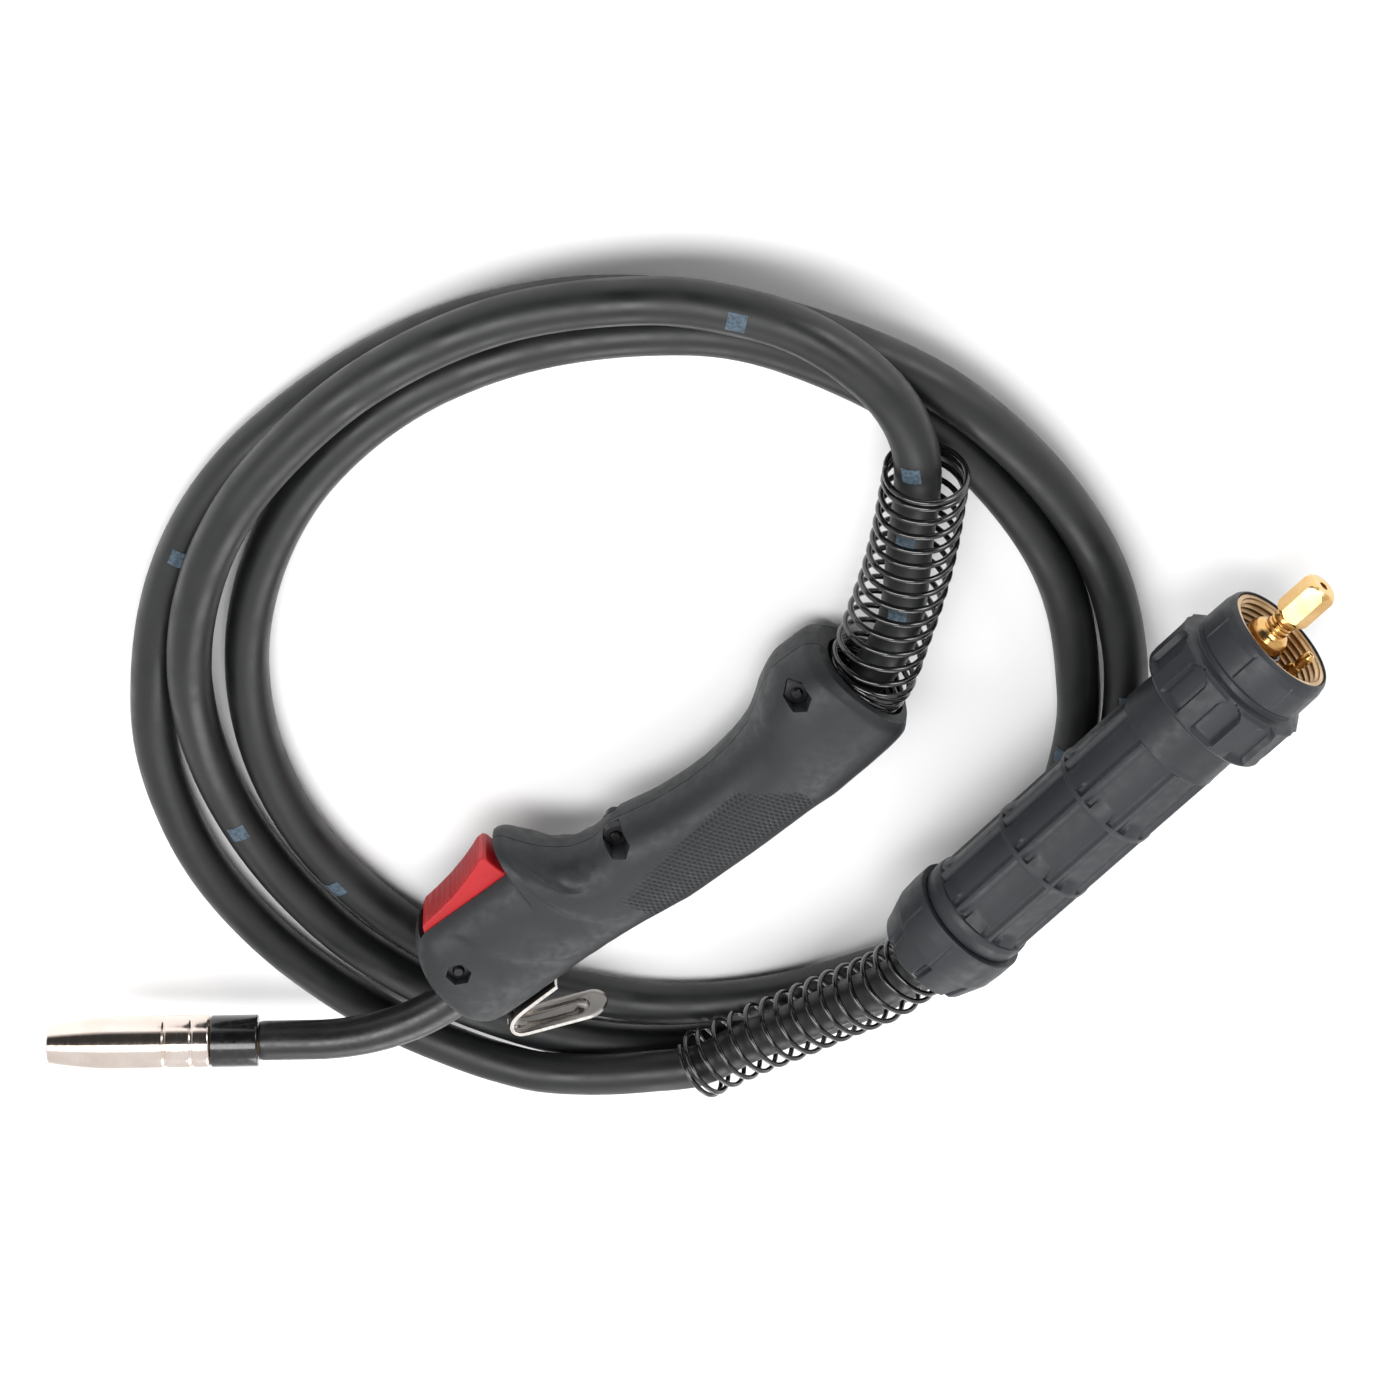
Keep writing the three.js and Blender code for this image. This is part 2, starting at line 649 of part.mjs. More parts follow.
function oRing() {
  const points = [];
  for (let i = 0; i <= 6; i += 1) {
    const a = (2 * Math.PI * (i % 6)) / 6;
    points.push([158 + 0.8 * Math.cos(a), 7.05 + 0.8 * Math.sin(a)]);
  }
  return turned(points, 16, PLUG);
}

function pins() {
  const pin = (at) => turned([[124, 0], [124, 1.45], [156.4, 1.45], [157.5, 1], [158, 0]], 12, at);
  const sleeve = (at) => turned(pipe(126, 146, 1.75, 2.1), 14, at);
  const gas = [[126, 0.7], [126, 1.7], [164.6, 1.7], [166, 1.2], [166, 0.7], [126, 0.7]];
  return [
    piece('contact_pin_1', pin(PIN_1), BRASS),
    piece('contact_pin_2', pin(PIN_2), BRASS),
    piece('pin_sleeve_1', sleeve(PIN_1), BLACK),
    piece('pin_sleeve_2', sleeve(PIN_2), BLACK),
    piece('gas_pin', turned(gas, 12, GAS_PIN), BRASS),
  ];
}

function wiring() {
  const one = smooth([[121.5, ...PIN_1], [100, -6, -5.6], [86, -3.6, -3.8], [78.4, -2.7, -3.5]]);
  const two = smooth([[121.5, ...PIN_2], [104, -10.5, -2.2], [88, -5.2, 0.5], [78.8, -2.9, 0.8]]);
  const lead = smooth([[8, 0, 0], [30, 0.6, -0.3], [55, 2.4, -1.1], [77.7, PLUG[0], PLUG[1]]]);
  return [
    piece('pin_wire_1', swept(one, 0.9, 8, 6), BLACK),
    piece('pin_wire_2', swept(two, 0.9, 8, 6), BLACK),
    piece('cable_nipple_connector', turned(pipe(78, 100, 1.7, 4.4), 16, PLUG), BRASS),
    piece('cable_in_connector', swept(lead, CABLE_R, 6, 12), RUBBER),
  ];
}

function connectorAssembly() {
  const screw = alongY(-17.7, -16.3, 2.9, 121, 0, 18).add(alongY(-17, -12.6, 1.3, 121, 0, 12));
  const group = new THREE.Group();
  group.add(
    piece('end_bell', endBell(), DARK),
    piece('connector_housing', housing(), DARK),
    piece('housing_screw', screw.subtract(box(118, 124, -19, -17.1, -0.4, 0.4)), STEEL),
    piece('connector_nut', couplingNut(), DARK),
    piece('nut_thread_ring', threadRing(), TAN),
    piece('plug_flange', flange(), BRASS),
    piece('plug_body', plugBody(), BRASS),
    piece('liner_nut', linerNut(), BRASS),
    piece('plug_o_ring', oRing(), RUBBER),
    ...pins(),
    ...wiring(),
  );
  group.position.set(...CONNECTOR_AT);
  group.rotation.z = rad(CONNECTOR_TURN);
  return group;
}

const torch = new THREE.Group();
torch.name = 'welding_torch';
torch.add(handleAssembly(), connectorAssembly(), ...guards(), ...cable());
torch.position.set(...ORIGIN_SHIFT, 0);

export default torch;
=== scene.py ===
# Looks of the coiled welding torch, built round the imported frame. Lengths are in millimetres in each assembly's
# own axes, as in the part, and become metres when a piece is placed.
import math

import bmesh
import bpy
import numpy as np
from mathutils import Matrix, Vector


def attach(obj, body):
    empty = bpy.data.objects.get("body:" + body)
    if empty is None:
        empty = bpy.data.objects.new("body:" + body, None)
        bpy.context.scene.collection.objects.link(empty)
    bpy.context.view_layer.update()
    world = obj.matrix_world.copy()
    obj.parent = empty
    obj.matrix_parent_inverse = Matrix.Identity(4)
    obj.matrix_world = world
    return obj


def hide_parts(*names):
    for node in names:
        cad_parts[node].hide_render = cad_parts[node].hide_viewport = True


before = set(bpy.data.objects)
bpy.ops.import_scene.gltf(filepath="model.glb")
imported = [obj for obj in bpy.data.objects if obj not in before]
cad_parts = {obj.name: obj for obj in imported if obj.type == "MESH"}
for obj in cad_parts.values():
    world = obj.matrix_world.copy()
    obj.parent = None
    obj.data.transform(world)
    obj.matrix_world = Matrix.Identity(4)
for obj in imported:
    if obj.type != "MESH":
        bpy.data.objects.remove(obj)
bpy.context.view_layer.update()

TAU = 2 * math.pi

# ---- places, as in the part ----
SHIFT = Vector((65.01, 10.47, 0))
HANDLE_AT = Vector((-75.5, -101.1, 31.543))
HANDLE_TURN = 41.9
HANDLE_TILT = 3.8
CONNECTOR_AT = Vector((72.2, -78, 40))
CONNECTOR_TURN = 51.6
NECK_AT = (2.3, 0.8)
NECK_BEND_R = 72
NECK_BEND = 43.2
CABLE_R = 6.9
COIL_CENTRE = (-8, 5)
PLUG = (3.1, -1.4)
PIN_1 = (-6.2, -6.1)
PIN_2 = (-11.7, -3.6)
GAS_PIN = (-9.4, 2.3)
NUT = dict(x0=130.7, x1=163.7, r=23.3)
HINGE = (16, 25)
NUT_PHASE = math.pi / 6
REAR = dict(x=176.2, y=4.8, turn=9)
SCREWS = [(15, 15.6, -10, 9.2), (83.8, 15.9, -4, 1.4), (163.6, 22.4, -9.5, 9.5)]

MM = Matrix.Scale(0.001, 4)
IN_PLAN = MM @ Matrix.Translation(SHIFT)


def turn(degrees, axis):
    return Matrix.Rotation(math.radians(degrees), 4, axis)


IN_HANDLE = MM @ Matrix.Translation(SHIFT + HANDLE_AT) @ turn(HANDLE_TURN, "Z") @ turn(HANDLE_TILT, "Y")
IN_CONNECTOR = MM @ Matrix.Translation(SHIFT + CONNECTOR_AT) @ turn(CONNECTOR_TURN, "Z")


def neck_point(s):
    x, y = NECK_AT
    if s <= 0:
        return Vector((x - s, y, 0))
    a = min(s, NECK_ARC) / NECK_BEND_R
    beyond = max(s - NECK_ARC, 0)
    return Vector((
        x - NECK_BEND_R * math.sin(a) - beyond * math.cos(a),
        y + NECK_BEND_R * (1 - math.cos(a)) + beyond * math.sin(a),
        0,
    ))


NECK_ARC = NECK_BEND_R * math.radians(NECK_BEND)
IN_FRONT = IN_HANDLE @ Matrix.Translation(neck_point(NECK_ARC)) @ turn(180 - NECK_BEND, "Z")

# ---- camera, floor and light ----
# the camera's place, its lean in degrees and its focal length
CAMERA_SIDE = 608.8
CAMERA_HEIGHT = 793.4
CAMERA_LEAN = -37.5
LENS = 82.88


def add_camera():
    data = bpy.data.cameras.new("camera")
    data.lens = LENS
    data.sensor_width = 36
    data.clip_start = 0.05
    camera = bpy.data.objects.new("camera", data)
    bpy.context.collection.objects.link(camera)
    camera.location = (SHIFT + Vector((0, CAMERA_SIDE, CAMERA_HEIGHT))) / 1000
    camera.rotation_euler = (math.radians(CAMERA_LEAN), 0, 0)
    bpy.context.scene.camera = camera


def add_light(name, place, across, along, watts, aim=(0, 0, 0)):
    """A soft box at a place in metres, pointing at its aim."""
    data = bpy.data.lights.new(name, "AREA")
    data.shape = "RECTANGLE"
    data.size = across
    data.size_y = along
    data.energy = watts
    light = bpy.data.objects.new(name, data)
    bpy.context.collection.objects.link(light)
    light.location = place
    light.rotation_euler = (Vector(aim) - Vector(place)).to_track_quat("-Z", "Y").to_euler()


add_camera()
add_light("key", (-0.45, 0.32, 1.22), 1.5, 0.5, 17, (-0.45, 0, 0))
add_light("side", (1.0, 0.9, 0.5), 0.45, 0.45, 6)
add_light("low", (0.25, -1.1, 0.7), 0.7, 0.7, 6)
bpy.context.scene.view_settings.view_transform = "Standard"


# ---- node trees ----
class Nodes:
    """A node tree, with short ways to add what the dome and the looks below share."""

    def __init__(self, owner):
        owner.use_nodes = True
        self.owner = owner
        self.tree = owner.node_tree

    def feed(self, socket, value):
        if isinstance(value, bpy.types.NodeSocket):
            self.tree.links.new(value, socket)
        else:
            socket.default_value = value

    def add(self, kind, **inputs):
        node = self.tree.nodes.new(kind)
        for key, value in inputs.items():
            self.feed(node.inputs[key.replace("_", " ")], value)
        return node

    def maths(self, operation, *values, kind="ShaderNodeMath", output="Value"):
        node = self.tree.nodes.new(kind)
        node.operation = operation
        for socket, value in zip(node.inputs, values):
            self.feed(socket, value)
        return node.outputs[output]

    def mapped(self, stretch=(1, 1, 1), turned_by=(0, 0, 0)):
        """The object's own metres, stretched along axes turned by degrees."""
        node = self.add("ShaderNodeMapping", Vector=self.add("ShaderNodeTexCoord").outputs["Object"])
        node.vector_type = "TEXTURE"
        node.inputs["Rotation"].default_value = [math.radians(a) for a in turned_by]
        node.inputs["Scale"].default_value = [1 / s for s in stretch]
        return node.outputs["Vector"]

    def noise(self, scale, detail=3, **mapping):
        vector = self.mapped(**mapping)
        return self.add("ShaderNodeTexNoise", Vector=vector, Scale=scale, Detail=detail).outputs["Fac"]

    def ramp(self, value, low, high, at=(0.35, 0.65)):
        """The value spread from low to high, as it goes between the two numbers of at."""
        limits = dict(From_Min=at[0], From_Max=at[1], To_Min=low, To_Max=high)
        return self.add("ShaderNodeMapRange", Value=value, **limits).outputs["Result"]

    def mix(self, factor, *colours):
        node = self.tree.nodes.new("ShaderNodeMix")
        node.data_type = "RGBA"
        self.feed(node.inputs[0], factor)
        for socket, colour in zip(node.inputs[6:8], colours):
            self.feed(socket, colour if isinstance(colour, bpy.types.NodeSocket) else (*colour[:3], 1))
        return node.outputs[2]

    def bump(self, height, millimetres, strength=1.0, under=None):
        node = self.add("ShaderNodeBump", Height=height, Strength=strength, Distance=millimetres / 1000)
        if under is not None:
            self.feed(node.inputs["Normal"], under)
        return node.outputs["Normal"]

    def done(self, colour, roughness, normal, **constants):
        shader = self.tree.nodes["Principled BSDF"]
        inputs = dict(Base_Color=colour, Roughness=roughness, Normal=normal, **constants)
        for key, value in inputs.items():
            self.feed(shader.inputs[key.replace("_", " ")], value)
        return self.owner


# the dark flag: the direction of its middle, its stretch along X, its edge as a cosine, and the light off and on it
FLAG_TOWARDS = (0, 0.772, 0.635)
FLAG_STRETCH = 2
FLAG_EDGE = (0.76, 0.86)
FLAG_LIGHT = (0.9, 0.04)


def add_dome():
    """A soft white dome with a dark flag high on the +Y side, which gives polished metal its dark bands."""
    world = bpy.data.worlds.new("studio")
    bpy.context.scene.world = world
    n = Nodes(world)
    vectors = dict(kind="ShaderNodeVectorMath", output="Vector")
    direction = n.add("ShaderNodeTexCoord").outputs["Generated"]
    direction = n.maths("MULTIPLY", direction, (1 / FLAG_STRETCH, 1, 1), **vectors)
    direction = n.maths("NORMALIZE", direction, **vectors)
    towards = n.maths("DOT_PRODUCT", direction, FLAG_TOWARDS, kind="ShaderNodeVectorMath")
    light = n.ramp(towards, *FLAG_LIGHT, FLAG_EDGE)
    # the camera itself sees the dome plain white from every side
    seen = n.add("ShaderNodeLightPath").outputs["Is Camera Ray"]
    background = n.tree.nodes["Background"]
    n.feed(background.inputs["Strength"], n.maths("MAXIMUM", seen, light))
    n.feed(background.inputs["Color"], (1, 1, 1, 1))


add_dome()


# ---- materials ----
def hexcolour(code):
    channel = [int(code[i:i + 2], 16) / 255 for i in (0, 2, 4)]
    return tuple(((c + 0.055) / 1.055) ** 2.4 if c > 0.04045 else c / 12.92 for c in channel)


def begin(name, code):
    """A new material's nodes, and its main colour."""
    return Nodes(bpy.data.materials.new(name)), hexcolour(code)


def shade(colour, factor):
    return tuple(min(1, c * factor) for c in colour)


# the knurl's two sets of rows: degrees either side of the handle's length, and their scale
KNURL_LEAN = 28
KNURL_SCALE = 205


def moulded(name, code, roughness, worn, grain_mm=0.035, knurled=False):
    """Moulded plastic: fine spark-eroded grain, faint flow marks, edges rubbed a little lighter."""
    n, colour = begin(name, code)
    blotch = n.ramp(n.noise(45), 0, 1)
    base = n.mix(blotch, shade(colour, 0.88), shade(colour, 1.1))
    speck = n.ramp(n.noise(1900, detail=2), 0, 0.35, (0.62, 0.75))
    base = n.mix(speck, base, shade(colour, 1.9))
    edge = n.add("ShaderNodeNewGeometry").outputs["Pointiness"]
    rub = n.maths("MULTIPLY", n.ramp(edge, 0, 0.55 * worn, (0.515, 0.6)), n.ramp(n.noise(260), 0.3, 1))
    base = n.mix(rub, base, shade(colour, 2.6))
    rough = n.ramp(n.noise(320), roughness - 0.06, roughness + 0.07)
    normal = n.bump(n.noise(2300, detail=2), grain_mm, 0.8)
    normal = n.bump(n.noise(120), 0.12, 0.25, normal)
    if knurled:
        mask = n.add("ShaderNodeAttribute")
        mask.attribute_name = "knurl"
        raised = mask.outputs["Fac"]
        for angle in (HANDLE_TURN + KNURL_LEAN, HANDLE_TURN - KNURL_LEAN):
            wave = n.add("ShaderNodeTexWave", Vector=n.mapped(turned_by=(0, 0, angle)), Scale=KNURL_SCALE)
            raised = n.maths("MULTIPLY", wave.outputs["Fac"], raised)
        normal = n.bump(raised, 0.5, 1.0, normal)
        base = n.mix(raised, base, shade(colour, 0.62))
    return n.done(base, rough, normal, Specular_IOR_Level=0.42)


def metal(name, code, roughness, axis_turn, lines, tint=None, line_mm=0.006):
    """Plated or turned metal: tool lines across the axis, cloudy tarnish, small differences in polish."""
    n, colour = begin(name, code)
    cloud = n.ramp(n.noise(90), 0, 1)
    base = n.mix(cloud, colour, hexcolour(tint) if tint else shade(colour, 0.86))
    fine = n.noise(1, 4, stretch=lines, turned_by=axis_turn)
    base = n.mix(n.ramp(fine, 0, 0.12), base, shade(colour, 0.75))
    rough = n.ramp(fine, roughness - 0.03, roughness + 0.05)
    normal = n.bump(fine, line_mm, 0.7)
    normal = n.bump(n.noise(120), 0.02, 0.15, normal)
    return n.done(base, rough, normal, Metallic=1.0)


def rubber(name, code, roughness):
    """Extruded cable sheath: satin, with faint bloom, dust, patchy roughness and a faintly uneven surface."""
    n, colour = begin(name, code)
    bloom = n.ramp(n.noise(28), 0, 1)
    base = n.mix(bloom, shade(colour, 0.75), shade(colour, 1.25))
    dust = n.ramp(n.noise(1400, detail=2), 0, 0.3, (0.68, 0.78))
    base = n.mix(dust, base, shade(colour, 5))
    rough = n.ramp(n.noise(75, detail=5), roughness - 0.07, roughness + 0.09)
    normal = n.bump(n.noise(1500, detail=2), 0.02, 0.6)
    normal = n.bump(n.noise(60), 0.3, 0.22, normal)
    return n.done(base, rough, normal, Specular_IOR_Level=0.5)


def lacquer(name, code, roughness, coat):
    """Glossy black: enamelled wire or polished plastic, with light orange peel."""
    n, colour = begin(name, code)
    base = n.mix(n.ramp(n.noise(110), 0, 1), shade(colour, 0.7), shade(colour, 1.5))
    rough = n.ramp(n.noise(500), roughness - 0.04, roughness + 0.08)
    normal = n.bump(n.noise(650, detail=2), 0.02, 0.5)
    return n.done(base, rough, normal, Specular_IOR_Level=0.6, Coat_Weight=coat, Coat_Roughness=0.08)


def ink(name, code):
    """Stamped pale ink on the sheath, thin and broken up."""
    n, colour = begin(name, code)
    base = n.mix(n.ramp(n.noise(900, detail=4), 0, 1, (0.4, 0.6)), shade(colour, 0.55), colour)
    rough = n.ramp(n.noise(700), 0.4, 0.6)
    return n.done(base, rough, n.bump(n.noise(1500), 0.02, 0.5))


def floor_paint():
    n = Nodes(bpy.data.materials.new("floor_paper"))
    base = n.mix(n.ramp(n.noise(6), 0, 1), (0.93, 0.93, 0.935), (0.95, 0.95, 0.95))
    return n.done(base, n.ramp(n.noise(300), 0.75, 0.85), n.bump(n.noise(900), 0.02, 0.3))


FRONT_TURN = (0, 0, HANDLE_TURN + 180 - NECK_BEND)
CONN_TURN = (0, 0, CONNECTOR_TURN)
TURNED = (2600, 60, 60)
LOOK = dict(
    grip=moulded("grip_plastic", "222426", 0.52, 0.35, knurled=True),
    dark=moulded("connector_plastic", "25282c", 0.48, 0.8),
    red=moulded("trigger_plastic", "ae1a20", 0.42, 0.15, 0.02),
    black=lacquer("black_plastic", "0d0d0e", 0.2, 0.3),
    satin=lacquer("neck_sleeve_plastic", "131314", 0.34, 0.0),
    rubber=rubber("cable_rubber", "131415", 0.42),
    wire=lacquer("spring_enamel", "0e0e0f", 0.16, 0.6),
    ink=ink("sheath_ink", "6f8596"),
    steel=metal("stainless_steel", "cdc9c4", 0.2, (0, 0, 17), (900, 60, 900), "c0bbb6", 0.0008),
    dark_steel=metal("blacked_steel", "3c3c3e", 0.36, (0, 0, 0), (900, 900, 900)),
    nickel=metal("nickel_plate", "ece0d8", 0.13, FRONT_TURN, TURNED, "e2d2c8", 0.002),
    copper=metal("drawn_copper", "c4714d", 0.3, FRONT_TURN, TURNED, "8e4a34"),
    brass=metal("turned_brass", "e6c084", 0.21, CONN_TURN, TURNED, "cf9d58", 0.004),
    old_brass=metal("plain_brass", "b99a5e", 0.3, (0, 0, HANDLE_TURN), TURNED, "94774a"),
    tan=metal("thread_ring_brass", "d2b48e", 0.3, CONN_TURN, TURNED, "a98a64"),
)


# ---- making and placing pieces ----
def mesh_of(bm):
    mesh = bpy.data.meshes.new("shape")
    bm.to_mesh(mesh)
    bm.free()
    return mesh


def grid_mesh(rings, closed=False, caps=True):
    """A mesh through rings of points; a closed one joins its last ring to its first."""
    bm = bmesh.new()
    rows = [[bm.verts.new(p) for p in ring] for ring in rings]
    pairs = list(zip(rows, rows[1:]))
    if closed:
        pairs.append((rows[-1], rows[0]))
    for a, b in pairs:
        count = len(a)
        for i in range(count):
            j = (i + 1) % count
            bm.faces.new((a[i], a[j], b[j], b[i]))
    if caps and not closed:
        bm.faces.new(rows[0][::-1])
        bm.faces.new(rows[-1])
    bmesh.ops.remove_doubles(bm, verts=bm.verts, dist=1e-4)
    bmesh.ops.recalc_face_normals(bm, faces=bm.faces)
    return mesh_of(bm)


def dense(profile, corner=0.0, step=2.0):
    """The profile with its corners rounded and long sides divided."""
    loop = profile[0] == profile[-1]
    points = [Vector(p) for p in (profile[:-1] if loop else profile)]
    count = len(points)
    out = []
    for i, p in enumerate(points):
        before, after = points[i - 1], points[(i + 1) % count]
        if corner == 0 or (not loop and i in (0, count - 1)):
            out.append(p)
            continue
        a = before - p
        b = after - p
        ra = min(corner, 0.4 * a.length)
        rb = min(corner, 0.4 * b.length)
        a = p + a.normalized() * ra
        b = p + b.normalized() * rb
        for t in (0, 0.25, 0.5, 0.75, 1):
            out.append(a * (1 - t) ** 2 + p * 2 * t * (1 - t) + b * t * t)
    if loop:
        out.append(out[0])
    fine = [out[0]]
    for p, q in zip(out, out[1:]):
        pieces = max(1, math.ceil((q - p).length / step))
        fine += [p.lerp(q, k / pieces) for k in range(1, pieces + 1)]
    return [tuple(p) for p in (fine[:-1] if loop else fine)], loop


def turned(profile, sides=96, at=(0, 0), corner=0.25, step=3.0, shape=None):
    """A body of revolution about X; shape changes the radius by place and angle."""
    points, loop = dense(profile, corner, step)
    rings = []
    for x, r in points:
        ring = []
        for k in range(sides):
            a = TAU * k / sides
            radius = shape(x, r, a) if shape and r > 0 else r
            ring.append((x, at[0] - radius * math.sin(a), at[1] + radius * math.cos(a)))
        rings.append(ring)
    return grid_mesh(rings, loop, caps=False)


def bar(x0, x1, r):
    return [(x0, 0), (x0, r), (x1, r), (x1, 0)]


def pipe(x0, x1, inner, outer):
    return [(x0, inner), (x0, outer), (x1, outer), (x1, inner), (x0, inner)]


def circle(x, y, r, sides, phase=0.0):
    angles = [TAU * k / sides + phase for k in range(sides)]
    return [(x + r * math.cos(a), y + r * math.sin(a)) for a in angles]


def along_z(z0, z1, r, x, y, sides=48, phase=0.0):
    return grid_mesh([[(px, py, z) for px, py in circle(x, y, r, sides, phase)] for z in (z0, z1)])


def along_y(y0, y1, r, x, z, sides=48):
    return grid_mesh([[(px, y, pz) for px, pz in circle(x, z, r, sides)] for y in (y0, y1)])


def hex_r(flats):
    """The corner radius of a hexagon with this distance across its flats."""
    return flats / math.sqrt(3)


def block(x0, x1, y0, y1, z0, z1):
    ring = [(x0, y0), (x1, y0), (x1, y1), (x0, y1)]
    return grid_mesh([[(x, y, z) for x, y in ring] for z in (z0, z1)])


def moved(mesh, *steps):
    for matrix in steps:
        mesh.transform(matrix)
    return mesh


def upright(mesh, x, y):
    """A body of revolution stood along Z at a place."""
    return moved(mesh, turn(-90, "Y"), Matrix.Translation((x, y, 0)))


def combined(mesh, cutters, operation="DIFFERENCE"):
    """The mesh with others taken from it, added to it or shared with it."""
    target = bpy.data.objects.new("target", mesh)
    bpy.context.collection.objects.link(target)
    others = []
    for cutter in cutters:
        other = bpy.data.objects.new("cutter", cutter)
        bpy.context.collection.objects.link(other)
        others.append(other)
        modifier = target.modifiers.new("cut", "BOOLEAN")
        modifier.operation = operation
        modifier.object = other
        modifier.solver = "MANIFOLD"
    evaluated = target.evaluated_get(bpy.context.evaluated_depsgraph_get())
    result = bpy.data.meshes.new_from_object(evaluated)
    for other in others + [target]:
        bpy.data.objects.remove(other)
    return result


def place(name, mesh, matrix, look, node=None, body="torch", slot=None, smooth=32, bevel=0.0):
    """Puts a finished piece on its body, with its look and the CAD node that it stands for."""
    mesh.transform(matrix)
    mesh.name = name
    mesh.materials.clear()
    mesh.materials.append(LOOK[look])
    mesh.shade_smooth()
    mesh.set_sharp_from_angle(angle=math.radians(smooth))
    piece = bpy.data.objects.new(name, mesh)
    bpy.context.collection.objects.link(piece)
    if bevel:
        modifier = piece.modifiers.new("edge", "BEVEL")
        modifier.width = bevel / 1000
        modifier.segments = 2
        modifier.limit_method = "ANGLE"
        modifier.angle_limit = math.radians(50)
    return settle(piece, [node] if node else [], body)


def settle(piece, stands_for, body="torch"):
    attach(piece, body)
    if stands_for:
        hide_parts(*stands_for)
    return piece


def catmull(points, step=3.0):
    """A centripetal curve through the points, with evenly spaced samples."""
    pts = [Vector(p) for p in points]
    pts = [2 * pts[0] - pts[1]] + pts + [2 * pts[-1] - pts[-2]]
    out = []
    for a, b, c, d in zip(pts, pts[1:], pts[2:], pts[3:]):
        t1 = (b - a).length ** 0.5
        t2 = t1 + (c - b).length ** 0.5
        t3 = t2 + (d - c).length ** 0.5
        for k in range(24):
            t = t1 + (t2 - t1) * k / 24
            ab = a * ((t1 - t) / t1) + b * (t / t1)
            bc = b * ((t2 - t) / (t2 - t1)) + c * ((t - t1) / (t2 - t1))
            cd = c * ((t3 - t) / (t3 - t2)) + d * ((t - t2) / (t3 - t2))
            low = ab * ((t2 - t) / t2) + bc * (t / t2)
            high = bc * ((t3 - t) / (t3 - t1)) + cd * ((t - t1) / (t3 - t1))
            out.append(low * ((t2 - t) / (t2 - t1)) + high * ((t - t1) / (t2 - t1)))
    out.append(pts[-2])
    return resample(out, step)


def resample(points, step):
    line = np.array([tuple(p) for p in points])
    gaps = np.linalg.norm(np.diff(line, axis=0), axis=1)
    along = np.concatenate([[0], np.cumsum(gaps)])
    count = max(2, round(along[-1] / step) + 1)
    even = np.linspace(0, along[-1], count)
    return [Vector([float(np.interp(e, along, line[:, k])) for k in range(3)]) for e in even]


def wire_curve(name, points, radius, look, fineness=3):
    """A round wire or cable along a line of points."""
    data = bpy.data.curves.new(name, "CURVE")
    data.dimensions = "3D"
    data.bevel_depth = radius / 1000
    data.bevel_resolution = fineness
    data.use_fill_caps = True
    spline = data.splines.new("POLY")
    spline.points.add(len(points) - 1)
    for target, p in zip(spline.points, points):
        target.co = (*(IN_PLAN @ Vector(p)), 1)
    spline.use_smooth = True
    data.materials.append(LOOK[look])
    piece = bpy.data.objects.new(name, data)
    bpy.context.collection.objects.link(piece)
    return piece


# ---- the supply cable: out of the handle, round the coil twice, up into the connector ----
HANDLE_LEAD = [
    (52.7, 20.5, 20.2), (56.3, 25.6, 20.1), (59.6, 32, 20.4), (62, 39.5, 20.8), (63.4, 49, 21.4), (64, 60, 22),
    (64.4, 75.2, 23.6), (65, 84, 24.8), (65.3, 92, 26.2), (65, 103, 28.2), (62.8, 114.5, 30), (56.6, 127, 30.6),
    (45.5, 138.6, 29.8), (30, 148.5, 28.4), (13, 153.8, 26.8), (-10, 156.2, 25), (-53, 148.7, 22.6),
    (-93, 127.3, 21.5),
]
# the coil's turns, inner then outer: degrees round its centre, distance out, and height where it is off the floor
TURNS = [
    (142, 148, 20.9), (153, 147.9, 20.1), (163, 147.3, 19), (173, 146.5, 17.4), (184, 145.8, 12.9),
    (196, 146.2, 8.2), (207, 146.3), (217, 146.6), (227, 147.5), (243, 148.9), (261, 151.4), (279, 150.5),
    (299, 145.9), (312, 142.3), (326, 137.2), (340, 132.8), (354, 129.9), (364, 127.8), (375, 127.2),
    (385, 126.5), (399, 125.5), (415, 127), (438, 130), (451, 130.2), (469, 130.8), (487, 131.6), (506, 131.5),
    (526, 130.4), (546, 129.6), (566, 129.5), (587, 129.6), (602, 130.4), (621, 130.6), (628, 131.8),
    (638, 132.1, 7.3), (649, 131, 9.5), (659, 128.7, 13.4), (668, 128.7, 17.2), (679, 131.5, 21),
    (689, 135.5, 21.6), (700, 139.7, 20.4), (711, 141.8, 16.6), (722, 142.6, 10.6), (734, 141.6, 8),
    (745, 140.4, 9.4), (759, 139.6, 12), (775, 140.6, 14.6), (789, 141.2, 15.6), (802, 142.8, 14.6),
    (811, 143.8, 12.4), (820, 144.6, 10.2), (829, 145.2, 8.6), (838, 145.8, 7.2), (847, 147), (857, 149.1),
    (866, 152), (876, 154.7), (886, 156.8), (896, 158.7), (907, 162), (917, 164), (927, 165.6), (938, 166.3),
    (948, 166.6, 7.2), (957, 166.2, 9), (966, 163.6, 12.8), (970, 161.2, 15.8), (974, 158.4, 18.8),
    (981, 152.6, 21.8), (988, 146.4, 24.8),
]
CONNECTOR_LEAD = [
    (2.5, -137, 26.4), (18, -125.8, 27.4), (34.4, -113.8, 30.2), (50.4, -100.2, 34.4), (62.4, -89.2, 38.6),
    (72.2, -78, 40), (76.8, -72.2, 40),
]


def coil_points():
    points = []
    for degrees, out, *height in TURNS:
        a = math.radians(degrees)
        x, y = COIL_CENTRE
        points.append((x + out * math.cos(a), y + out * math.sin(a), *(height or [CABLE_R])))
    return points


